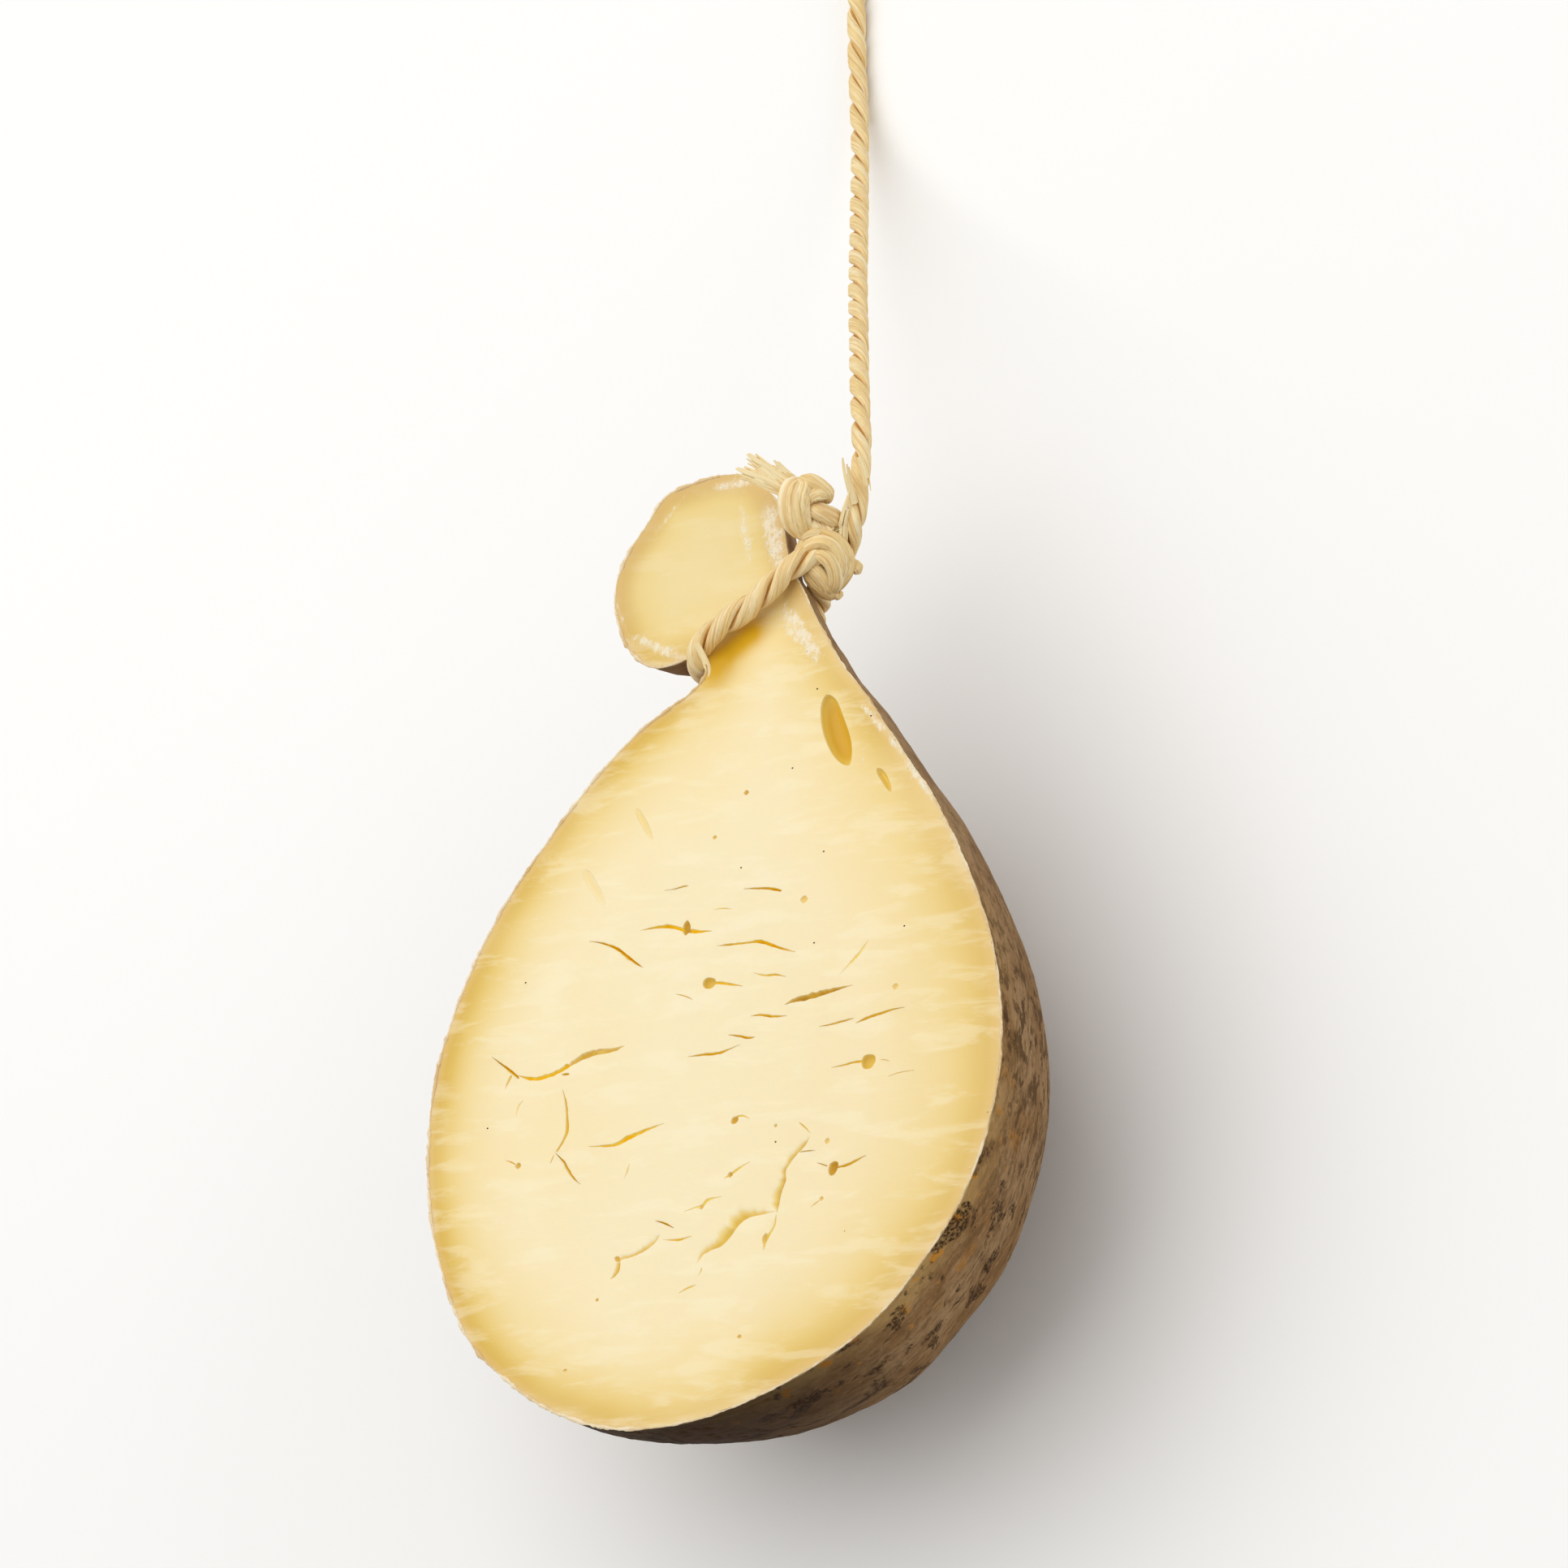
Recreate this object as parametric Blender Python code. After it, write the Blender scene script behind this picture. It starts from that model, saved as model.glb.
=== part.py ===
"""Half of a caciocavallo, tied round its neck with straw twine.

The cheese was cut in half lengthwise. The half lies on the back of its rind with the cut face up:
X runs across the cut face, Y from the belly towards the head, and Z up from the floor. The origin
is the middle of the small flat spot that the rind rests on. Lengths are in millimetres until a
mesh is made, which is in metres.
"""
import math

import bmesh
import bpy
from mathutils import Matrix, Vector

MM = 0.001
SHARP_ANGLE = math.radians(35.0)

# The cheese. Half widths are measured on the cut face, which is flat and level.
CUT_HEIGHT = 71.5
RING_GAP = 4.5  # between the rings of the rind
BACK_SIDES = 30
FLOOR_BLOCK = 60.0  # the block of air below the floor that trims the resting spot

# The twine: two plies of straw, twisted to the left.
TWINE = 4.3
LOOP_TWINE = 5.0  # looser round the neck
TWIST_LEAD = 17.0
PLY_GROOVE = 0.2  # depth of the groove between the plies, as a share of the radius
CLEARANCE = 0.35

# Matched points on the left and the right edge of the cut face, from the bottom up to the neck,
# and the depth of the rind behind them, as a share of half the width there.
BOTTOM = (-3.5, -74.5, 1.15)
BODY_EDGES = (
    (-16.0, -73.5, 9.0, -73.0, 1.15),
    (-29.5, -69.0, 23.5, -68.5, 1.14),
    (-40.5, -62.5, 36.5, -62.5, 1.14),
    (-50.5, -54.5, 48.0, -54.5, 1.11),
    (-57.5, -45.0, 56.0, -45.5, 1.07),
    (-65.5, -27.5, 66.5, -28.0, 1.04),
    (-69.5, -9.5, 71.0, -9.5, 1.03),
    (-70.0, 8.0, 71.0, 7.0, 1.035),
    (-66.5, 25.5, 66.5, 25.5, 1.06),
    (-59.5, 43.0, 58.5, 43.0, 1.12),
    (-49.0, 59.5, 48.0, 60.0, 1.20),
    (-38.5, 73.0, 37.0, 74.0, 1.29),
    (-29.0, 82.5, 28.5, 85.0, 1.40),
    (-20.5, 88.0, 21.5, 93.0, 1.53),
    (-16.0, 90.8, 17.0, 99.5, 1.52),
    (-13.5, 93.8, 12.0, 107.0, 1.36),
    (-12.6, 97.0, 8.5, 113.0, 1.20),
)
# The head leans to the left from the neck. Its edges are measured along and across its own axis,
# each pair with the depth behind it.
NECK = Vector((-2.5, 104.0))
HEAD_LEAN = math.radians(40.0)
HEAD_EDGES = (
    (4.5, -13.5, 14.5, 1.12),
    (10.0, -22.0, 16.5, 1.03),
    (14.5, -24.5, 18.5, 1.0),
    (20.5, -25.5, 20.5, 1.0),
    (25.5, -24.5, 20.5, 1.0),
    (31.5, -22.5, 19.0, 1.0),
    (36.0, -18.5, 15.5, 1.0),
    (39.5, -12.5, 11.0, 1.0),
    (42.5, -6.0, 6.5, 1.0),
)
HEAD_TIP = (44.0, 0.5, 1.0)

# Cracks in the paste: width, depth and the points of each on the cut face.
CRACKS = (
    (2.6, 6.0, ((25.0, -10.5), (27.5, -13.5), (24.5, -17.5), (22.0, -22.0), (22.0, -29.0))),
    (2.8, 6.0, ((22.0, -28.0), (15.0, -29.5), (9.5, -32.0), (5.5, -36.5), (3.5, -40.0))),
    (1.4, 4.0, ((22.0, -29.0), (21.0, -33.5), (20.0, -36.5))),
    (1.6, 5.0, ((-56.5, 11.0), (-50.0, 6.0), (-43.0, 4.5), (-36.0, 6.5), (-29.0, 9.5), (-23.0, 10.0))),
    (1.2, 4.0, ((-49.0, 6.5), (-50.5, 5.0), (-51.5, 3.0))),
    (1.3, 5.0, ((-36.5, 2.0), (-34.5, -4.0), (-34.5, -8.5), (-36.0, -12.0), (-32.5, -16.0), (-30.0, -19.0))),
    (1.5, 4.0, ((-27.5, -11.5), (-19.0, -11.5), (-15.0, -10.0), (-9.5, -8.0))),
    (1.8, 4.0, ((-17.5, -41.5), (-16.5, -37.5), (-12.5, -36.0), (-7.0, -33.5))),
    (1.3, 4.0, ((-21.0, 37.0), (-15.5, 36.5), (-9.0, 36.0), (-3.0, 34.5))),
    (1.4, 4.0, ((-1.5, 31.0), (5.0, 31.0), (10.0, 30.5), (18.0, 28.5))),
    (1.4, 4.0, ((-34.5, 35.0), (-29.5, 34.0), (-25.0, 32.0), (-19.5, 28.0))),
    (1.8, 5.0, ((17.5, 16.0), (23.5, 17.0), (28.5, 18.0), (33.5, 19.0))),
    (1.1, 4.0, ((28.0, 10.5), (35.5, 11.0), (41.0, 12.5), (47.0, 13.0))),
    (1.0, 3.0, ((4.5, 43.5), (9.5, 43.0), (13.5, 42.0))),
    (1.0, 3.0, ((-5.5, 6.5), (1.0, 6.5), (5.5, 7.0))),
    (1.1, 3.0, ((34.0, -21.0), (38.0, -20.0), (41.5, -19.5))),
)
CRACK_STEP = 2.6
CRACK_WAIST = (0.7, 0.6)  # where the walls of a crack bend, as shares of its width and depth
# Eyes, the round and long holes that gas leaves: place, half length, half width, depth and turn.
EYES = (
    (22.0, 78.0, 8.5, 2.8, 4.5, -60.0),
    (35.5, 64.5, 2.4, 1.2, 1.6, -60.0),
    (39.5, 2.0, 1.6, 1.6, 2.0, 0.0),
    (34.0, -21.0, 1.5, 1.4, 2.0, 0.0),
    (-2.5, 23.0, 1.3, 1.3, 2.0, 0.0),
    (-10.0, 36.0, 1.7, 1.5, 2.0, 0.0),
    (-24.0, 61.0, 3.4, 0.8, 1.2, -60.0),
    (-35.0, 47.5, 4.2, 1.3, 1.4, -55.0),
)
OPENING = 1.0  # how far a crack is cut from above the cut face
EYE_DETAIL = (10, 6)

# The knots are laid out as seen from the right and above: a direction round, a height and a lean.
VIEW_AZIMUTH, VIEW_HEIGHT, VIEW_ROLL = (math.radians(a) for a in (-33.9, 50.5, -55.7))
LOWER_KNOT = Vector((13.4, 118.9, CUT_HEIGHT - 2.5))

# Strands of the knots: widths and heights of the flat bundle, then points to the right of the
# lower knot's middle, above it and in front of it.
KNOT_STRANDS = (
    ((3.6, 2.6), ((-5.8, 0.6, 0.2), (-5.4, 3.2, 1.4), (-2.6, 4.6, 2.2), (1.0, 4.2, 2.4),
                  (3.6, 1.6, 2.4), (4.0, -2.0, 2.0), (2.6, -5.6, 1.0), (0.6, -7.0, -0.4))),
    ((3.4, 2.4), ((-6.0, -1.4, 2.4), (-3.4, 0.2, 3.2), (-0.8, -0.2, 3.6), (1.2, -2.2, 3.2),
                  (1.6, -5.0, 1.6), (0.6, -6.8, -0.6))),
    ((3.6, 3.2), ((2.8, -0.8, -0.6), (4.6, -1.0, 0.0), (6.0, -2.2, 0.2))),
    ((5.0, 3.6), ((1.2, 4.6, -0.6), (1.0, 7.2, 0.4), (0.0, 10.0, 1.0), (-3.0, 12.4, 0.6),
                  (-6.2, 14.6, -0.6))),
    ((3.8, 2.6), ((-5.4, 5.8, -0.6), (-7.8, 8.8, 0.8), (-8.8, 12.2, 1.8), (-8.0, 15.4, 2.4),
                  (-5.6, 16.5, 2.6), (-3.2, 15.5, 2.6), (-1.0, 13.9, 1.6), (-0.2, 12.2, -0.4))),
    ((3.4, 2.4), ((-1.0, 14.0, 2.4), (-3.0, 13.6, 3.6), (-5.2, 11.6, 3.8), (-6.0, 8.6, 2.0),
                  (-5.8, 6.6, 0.0))),
)
# The middles of the two knots, where the strands are packed: place and half sizes.
KNOT_CORES = (
    ((0.2, -1.0, -0.4), (4.4, 5.4, 3.4)),
    ((-4.4, 12.2, -0.4), (4.0, 4.4, 3.0)),
)
KNOT_DETAIL = (14, 9)
# The tail of the twine, opening out into two flat bundles behind the head: its width and height
# at the start and at the end, and its points.
TAIL_STRANDS = (
    ((4.4, 2.4), (5.6, 1.0), ((-6.6, 14.6, -0.6), (-9.8, 16.0, -1.6), (-13.4, 17.6, -2.4),
                              (-17.2, 19.6, -3.0), (-20.4, 21.4, -3.4))),
    ((3.4, 2.0), (3.2, 1.0), ((-6.4, 15.2, -1.6), (-9.6, 17.8, -2.6), (-13.2, 20.8, -3.2))),
)
STRAND_STEP = 1.7
STRAND_SIDES = 10
STRAND_END = 0.75  # how much of its size a strand keeps at its rounded ends

# The loop round the neck, in the plane across the neck: across, towards the head, above the face.
LOOP_POINTS = (
    (21.0, 1.6, -1.6), (18.4, 1.7, 1.4), (13.5, 2.2, 3.0), (6.5, 3.4, 3.0), (-3.0, 3.9, 3.0),
    (-10.0, 2.9, 3.1), (-14.6, 1.8, 2.8), (-17.0, 1.7, -1.2), (-16.6, 1.6, -6.5),
    (-13.4, 2.1, -12.8), (-7.4, 2.8, -17.6), (0.0, 3.4, -19.4), (7.4, 4.1, -17.8),
    (12.6, 4.3, -13.0), (15.4, 4.0, -8.4), (18.2, 3.2, -4.8), (20.4, 2.4, -3.2),
)
LOOP_STEP = 1.5
TWINE_SIDES = 12

# The free length of twine: it droops from the knots to the floor and runs on along it.
CORD_POINTS = (
    (19.2, 127.2, 69.2), (19.5, 131.0, 69.6), (19.4, 136.5, 69.7), (18.7, 143.0, 69.1),
    (16.0, 152.0, 66.9), (11.8, 162.0, 62.6), (3.7, 179.0, 53.2), (-6.4, 198.0, 41.0),
    (-16.6, 217.5, 28.0), (-26.2, 237.0, 16.0), (-33.4, 254.5, 7.6), (-38.4, 270.5, 3.4),
    (-41.2, 284.5, 2.5), (-43.0, 297.5, 2.5), (-44.8, 311.0, 2.5),
)
CORD_STEP = 6.0
# The eye that it is hung up by, and the knot that closes it.
EYE_KNOT = Vector((-45.6, 317.2, 4.6))
EYE_KNOT_SIZES = (5.0, 5.6, 4.2)  # half sizes across, along and up
EYE_RADII = (8.0, 15.0)
EYE_STEPS = 40

CHEESE_COLOUR = (0.86, 0.76, 0.47, 1.0)
TWINE_COLOUR = (0.72, 0.57, 0.32, 1.0)


def remove_everything():
    for thing in list(bpy.data.objects):
        bpy.data.objects.remove(thing)


def material(name, colour, roughness):
    made = bpy.data.materials.new(name)
    made.use_nodes = True
    surface = made.node_tree.nodes["Principled BSDF"]
    surface.inputs["Base Color"].default_value = colour
    surface.inputs["Roughness"].default_value = roughness
    return made


def shade(mesh):
    mesh.shade_smooth()
    mesh.set_sharp_from_angle(angle=SHARP_ANGLE)


def add_object(name, bm, finish=None):
    """Turns a bmesh in millimetres into an object in metres, faces pointing out."""
    bmesh.ops.recalc_face_normals(bm, faces=bm.faces)
    bmesh.ops.scale(bm, vec=(MM, MM, MM), verts=bm.verts)
    mesh = bpy.data.meshes.new(name)
    bm.to_mesh(mesh)
    bm.free()
    shade(mesh)
    if finish:
        mesh.materials.append(finish)
    made = bpy.data.objects.new(name, mesh)
    bpy.context.scene.collection.objects.link(made)
    return made


def combine(target, operands, operation):
    """Joins the operands to the target, or cuts them from it, and removes them."""
    group = bpy.data.collections.new(target.name + "_operands")
    bpy.context.scene.collection.children.link(group)
    for thing in operands:
        bpy.context.scene.collection.objects.unlink(thing)
        group.objects.link(thing)
    step = target.modifiers.new("combine", "BOOLEAN")
    step.operation = operation
    step.operand_type = "COLLECTION"
    step.collection = group
    step.solver = "EXACT"
    seen = target.evaluated_get(bpy.context.evaluated_depsgraph_get())
    result = bpy.data.meshes.new_from_object(seen)
    target.modifiers.remove(step)
    target.data = result
    shade(result)
    for thing in operands:
        bpy.data.objects.remove(thing)
    bpy.data.collections.remove(group)


def between(points, index, share, closed):
    """A point on the centripetal Catmull-Rom curve, a share of the way past one of its points."""
    count = len(points)

    def pick(i):
        if closed:
            return points[i % count]
        if i < 0:
            return points[0] * 2 - points[1]
        return points[i] if i < count else points[-1] * 2 - points[-2]

    p = [pick(index + i) for i in (-1, 0, 1, 2)]
    t = [0.0]
    for a, b in zip(p, p[1:]):
        t.append(t[-1] + max((b - a).length, 1e-6) ** 0.5)
    at = t[1] + (t[2] - t[1]) * share
    a = [p[i] * ((t[i + 1] - at) / (t[i + 1] - t[i])) + p[i + 1] * ((at - t[i]) / (t[i + 1] - t[i]))
         for i in range(3)]
    b = [a[i] * ((t[i + 2] - at) / (t[i + 2] - t[i])) + a[i + 1] * ((at - t[i]) / (t[i + 2] - t[i]))
         for i in range(2)]
    return b[0] * ((t[2] - at) / (t[2] - t[1])) + b[1] * ((at - t[1]) / (t[2] - t[1]))


def smooth_path(points, step):
    """Points about a step apart on the smooth curve through the given ones."""
    points = [Vector(p) for p in points]
    path = []
    for i in range(len(points) - 1):
        parts = max(1, round((points[i + 1] - points[i]).length / step))
        path += [between(points, i, k / parts, closed=False) for k in range(parts)]
    return path + [points[-1]]


def skin(bm, rings):
    """Faces between each ring of points and the next."""
    count = len(rings[0])
    for lower, upper in zip(rings, rings[1:]):
        for k in range(count):
            bm.faces.new((lower[k], lower[(k + 1) % count], upper[(k + 1) % count], upper[k]))


def ball(name, detail, place):
    """A unit ball, squashed and put where the matrix says."""
    bm = bmesh.new()
    bmesh.ops.create_uvsphere(bm, u_segments=detail[0], v_segments=detail[1], radius=1.0)
    bmesh.ops.transform(bm, matrix=place, verts=bm.verts)
    return add_object(name, bm)


# ---- the cheese ----

def head_point(along, across, depth):
    spot = NECK + Matrix.Rotation(HEAD_LEAN, 2) @ Vector((across, along))
    return Vector((spot.x, spot.y, depth))


def face_edges():
    """The left and right edges of the cut face, with a shared first and last point.

    The third number of a point is the depth of the rind there.
    """
    left, right = [Vector(BOTTOM)], [Vector(BOTTOM)]
    for left_x, left_y, right_x, right_y, depth in BODY_EDGES:
        left.append(Vector((left_x, left_y, depth)))
        right.append(Vector((right_x, right_y, depth)))
    for along, left_across, right_across, depth in HEAD_EDGES:
        left.append(head_point(along, left_across, depth))
        right.append(head_point(along, right_across, depth))
    tip = head_point(*HEAD_TIP)
    return left + [tip], right + [tip]


def rind_chords():
    """Pairs of facing edge points, close enough for a smooth rind, without the two ends."""
    left, right = face_edges()
    outline = right + left[-2:0:-1]
    count = len(outline)
    chords = []
    for i in range(len(right) - 1):
        span = max((left[i + 1] - left[i]).length, (right[i + 1] - right[i]).length)
        parts = max(2, math.ceil(span / RING_GAP))
        for k in range(parts):
            share = k / parts
            here = between(outline, i, share, closed=True)
            facing = between(outline, count - i - 1, 1 - share, closed=True)
            chords.append((facing, here))
    return chords[1:]


def half_ring(left, right):
    """Points round the back of the rind from the right edge to the left one."""
    middle = (left.xy + right.xy) / 2
    half = (right.xy - left.xy) / 2
    depth = half.length * (left.z + right.z) / 2
    ring = []
    for k in range(BACK_SIDES + 1):
        turn = math.pi * k / BACK_SIDES
        spot = middle + half * math.cos(turn)
        ring.append(Vector((*spot, CUT_HEIGHT - depth * math.sin(turn))))
    return ring


def cheese_body(bm):
    rings = []
    for left, right in rind_chords():
        rings.append([bm.verts.new(p) for p in half_ring(left, right)])
    bottom = bm.verts.new((*BOTTOM[:2], CUT_HEIGHT))
    tip = bm.verts.new((*head_point(*HEAD_TIP).xy, CUT_HEIGHT))
    for lower, upper in zip(rings, rings[1:]):
        for k in range(BACK_SIDES):
            bm.faces.new((lower[k], lower[k + 1], upper[k + 1], upper[k]))
    for k in range(BACK_SIDES):
        bm.faces.new((bottom, rings[0][k + 1], rings[0][k]))
        bm.faces.new((tip, rings[-1][k], rings[-1][k + 1]))
    right_edge = [ring[0] for ring in rings]
    left_edge = [ring[-1] for ring in rings]
    bm.faces.new([bottom] + right_edge + [tip] + left_edge[::-1])


def crack_cutter(width, depth, points):
    """A wedge along a crack: widest and deepest midway, closing to nothing at both ends."""
    path = smooth_path(points, CRACK_STEP)
    bm = bmesh.new()
    rings = []
    for k in range(1, len(path) - 1):
        along = (path[k + 1] - path[k - 1]).normalized()
        side = Vector((-along.y, along.x))
        swell = math.sin(math.pi * k / (len(path) - 1)) ** 0.6
        half, deep = width / 2 * swell, depth * swell
        waist, bend = half * CRACK_WAIST[0], -deep * CRACK_WAIST[1]
        section = ((half, OPENING), (-half, OPENING), (-waist, bend), (0.0, -deep), (waist, bend))
        rings.append([bm.verts.new((*(path[k] + side * x), CUT_HEIGHT + z)) for x, z in section])
    skin(bm, rings)
    first, last = (bm.verts.new((*path[i], CUT_HEIGHT + OPENING)) for i in (0, -1))
    for k in range(len(section)):
        after = (k + 1) % len(section)
        bm.faces.new((first, rings[0][after], rings[0][k]))
        bm.faces.new((last, rings[-1][k], rings[-1][after]))
    return add_object("crack", bm)


def eye_cutter(x, y, half_length, half_width, depth, turn):
    place = (Matrix.Translation((x, y, CUT_HEIGHT))
             @ Matrix.Rotation(math.radians(turn), 4, "Z")
             @ Matrix.Diagonal((half_length, half_width, depth, 1.0)))
    return ball("eye", EYE_DETAIL, place)


def floor_cutter():
    """Takes the small flat spot off the back of the rind, at the height of the floor."""
    bm = bmesh.new()
    bmesh.ops.create_cube(bm, size=FLOOR_BLOCK)
    bmesh.ops.translate(bm, vec=(0.0, 0.0, -FLOOR_BLOCK / 2), verts=bm.verts)
    return add_object("floor", bm)


def make_cheese(finish):
    bm = bmesh.new()
    cheese_body(bm)
    cheese = add_object("cheese_half", bm, finish)
    cutters = [crack_cutter(*crack) for crack in CRACKS]
    cutters += [eye_cutter(*eye) for eye in EYES]
    combine(cheese, cutters + [floor_cutter()], "DIFFERENCE")


# ---- the twine ----

def view_axes():
    """To the right, up and towards the viewer, for the layout of the knots."""
    front = Vector((math.cos(VIEW_HEIGHT) * math.cos(VIEW_AZIMUTH),
                    math.cos(VIEW_HEIGHT) * math.sin(VIEW_AZIMUTH), math.sin(VIEW_HEIGHT)))
    level = Vector((0, 0, 1)).cross(front).normalized()
    across = level * math.cos(VIEW_ROLL) + front.cross(level) * math.sin(VIEW_ROLL)
    return across, front.cross(across), front


def knot_point(right, up, towards):
    across, above, front = view_axes()
    return LOWER_KNOT + across * right + above * up + front * towards


def carried_frames(path, first_side):
    """A side and a top direction at each point, carried along the path without twisting."""
    side, frames = first_side, []
    for k in range(len(path)):
        along = (path[min(k + 1, len(path) - 1)] - path[max(k - 1, 0)]).normalized()
        side = (side - along * side.dot(along)).normalized()
        frames.append((side, along.cross(side)))
    return frames


def flat_strand(start, end, points):
    """A closed bundle of straw along points: width and height change from the start to the end."""
    path = smooth_path([knot_point(*p) for p in points], STRAND_STEP)
    frames = carried_frames(path, view_axes()[2].cross(path[1] - path[0]).normalized())
    bm = bmesh.new()
    rings, last = [], len(path) - 1
    for k, (side, top) in enumerate(frames):
        share = k / last
        size = STRAND_END if k in (0, last) else 1.0
        half_width = (start[0] + (end[0] - start[0]) * share) / 2 * size
        half_height = (start[1] + (end[1] - start[1]) * share) / 2 * size
        ring = []
        for i in range(STRAND_SIDES):
            turn = 2 * math.pi * i / STRAND_SIDES
            out = side * half_width * math.cos(turn) + top * half_height * math.sin(turn)
            ring.append(bm.verts.new(path[k] + out))
        rings.append(ring)
    skin(bm, rings)
    bm.faces.new(rings[0][::-1])
    bm.faces.new(rings[-1])
    return add_object("strand", bm)


def knot_core(middle, half_sizes):
    turn = Matrix(view_axes()).transposed().to_4x4()
    place = Matrix.Translation(knot_point(*middle)) @ turn @ Matrix.Diagonal((*half_sizes, 1.0))
    return ball("core", KNOT_DETAIL, place)


def neck_loop(finish):
    """Two plies side by side, turning round each other on the way round the neck."""
    lean = Matrix.Rotation(HEAD_LEAN, 2)
    left, right = Vector(BODY_EDGES[-1][:2]), Vector(BODY_EDGES[-1][2:4])
    points = []
    for across, towards_head, above in LOOP_POINTS:
        spot = (left + right) / 2 + lean @ Vector((across, towards_head))
        points.append((*spot, CUT_HEIGHT + above))
    path = smooth_path(points, LOOP_STEP)
    bm = bmesh.new()
    rings, travelled = [], 0.0
    for k, (side, top) in enumerate(carried_frames(path, Vector((0, 0, 1)))):
        if k:
            travelled += (path[k] - path[k - 1]).length
        ring = []
        for i in range(TWINE_SIDES):
            around = 2 * math.pi * i / TWINE_SIDES
            reach = LOOP_TWINE / 2 * (1 - PLY_GROOVE + PLY_GROOVE * math.cos(2 * around))
            turn = around - 2 * math.pi * travelled / TWIST_LEAD
            out = (side * math.cos(turn) + top * math.sin(turn)) * reach
            ring.append(bm.verts.new(path[k] + out))
        rings.append(ring)
    skin(bm, rings)
    bm.faces.new(rings[0][::-1])
    bm.faces.new(rings[-1])
    return add_object("neck_tie", bm, finish)


def make_neck_tie(finish):
    """One length of twine: the loop round the neck, the two knots and the open tail."""
    strands = [flat_strand(size, size, points) for size, points in KNOT_STRANDS]
    strands += [flat_strand(start, end, points) for start, end, points in TAIL_STRANDS]
    cores = [knot_core(middle, half_sizes) for middle, half_sizes in KNOT_CORES]
    combine(neck_loop(finish), strands + cores, "UNION")


def make_hanging_cord(finish):
    """The free twine, as one plain tube on a smooth curve."""
    path = smooth_path(CORD_POINTS, CORD_STEP)
    curve = bpy.data.curves.new("hanging_cord", "CURVE")
    curve.dimensions = "3D"
    curve.bevel_depth = TWINE / 2 * MM
    curve.bevel_resolution = 2
    curve.use_fill_caps = True
    line = curve.splines.new("POLY")
    line.points.add(len(path) - 1)
    for spot, place in zip(line.points, path):
        spot.co = (*(place * MM), 1.0)
    line.use_smooth = True
    curve.materials.append(finish)
    made = bpy.data.objects.new("hanging_cord", curve)
    bpy.context.scene.collection.objects.link(made)


def make_hanging_eye(finish):
    """The twine doubled back into an eye on the floor, held by a knot."""
    onward = (Vector(CORD_POINTS[-1]) - Vector(CORD_POINTS[-2])).normalized()
    side = Vector((onward.y, -onward.x, 0.0))
    half_width, half_length = EYE_RADII
    middle = EYE_KNOT + onward * half_length
    middle.z = TWINE / 2 + CLEARANCE
    bm = bmesh.new()
    rings = []
    for k in range(EYE_STEPS):
        turn = 2 * math.pi * k / EYE_STEPS
        spot = middle + side * half_width * math.cos(turn) + onward * half_length * math.sin(turn)
        outward = side * half_length * math.cos(turn) + onward * half_width * math.sin(turn)
        ring = []
        for i in range(STRAND_SIDES):
            around = 2 * math.pi * i / STRAND_SIDES
            out = outward.normalized() * math.cos(around) + Vector((0, 0, math.sin(around)))
            ring.append(bm.verts.new(spot + out * TWINE / 2))
        rings.append(ring)
    skin(bm, rings + rings[:1])
    eye = add_object("hanging_eye", bm, finish)
    place = (Matrix.Translation(EYE_KNOT)
             @ Matrix((side, onward, Vector((0, 0, 1)))).transposed().to_4x4()
             @ Matrix.Diagonal((*EYE_KNOT_SIZES, 1.0)))
    combine(eye, [ball("knot", KNOT_DETAIL, place)], "UNION")


def main():
    remove_everything()
    cheese = material("cheese", CHEESE_COLOUR, 0.45)
    twine = material("twine", TWINE_COLOUR, 0.8)
    make_cheese(cheese)
    make_neck_tie(twine)
    make_hanging_cord(twine)
    make_hanging_eye(twine)


main()
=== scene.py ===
# %% [markdown]
# # Half a caciocavallo, tied with straw twine
#
# A caciocavallo is a stretched-curd cheese that ripens hung up by its neck. This one was cut in
# half lengthwise, through the body and the little head, so it shows a flat face of cream paste
# with a brown rind behind it. Held up by nothing, the half lies on the back of its rind.
#
# The solids of the cheese and its twine are already made, to size. This script dresses them: it
# loads them as a frame, puts finer pieces over them and gives every surface its finish. Lengths
# in the tables are in millimetres, and MM turns them into Blender's metres.

# %% Load the frame
import math

import bmesh
import bpy
import numpy as np
from mathutils import Matrix, Vector, kdtree, noise


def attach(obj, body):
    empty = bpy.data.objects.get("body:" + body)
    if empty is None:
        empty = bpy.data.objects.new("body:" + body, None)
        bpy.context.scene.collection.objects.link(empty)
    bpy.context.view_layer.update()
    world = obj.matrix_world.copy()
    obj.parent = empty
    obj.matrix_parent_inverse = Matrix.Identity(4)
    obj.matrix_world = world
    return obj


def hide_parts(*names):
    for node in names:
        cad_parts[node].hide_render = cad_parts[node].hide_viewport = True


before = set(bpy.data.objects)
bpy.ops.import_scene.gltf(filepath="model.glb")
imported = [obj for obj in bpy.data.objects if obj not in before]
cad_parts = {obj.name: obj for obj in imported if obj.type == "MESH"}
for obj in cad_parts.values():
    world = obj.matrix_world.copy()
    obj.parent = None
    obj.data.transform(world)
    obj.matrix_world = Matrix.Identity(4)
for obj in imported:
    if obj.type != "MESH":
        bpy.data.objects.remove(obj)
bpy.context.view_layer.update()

MM = 0.001
UP = Vector((0, 0, 1))
print("solids:", sorted(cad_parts))

# %% [markdown]
# ## The camera
#
# The camera looks down on the cut face from the right, and leans, so that the cheese seems to
# hang. Three angles and a distance say that more plainly than a rotation matrix would. The same
# three directions (right, up, towards the viewer) are used again to lay out the knots.

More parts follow.
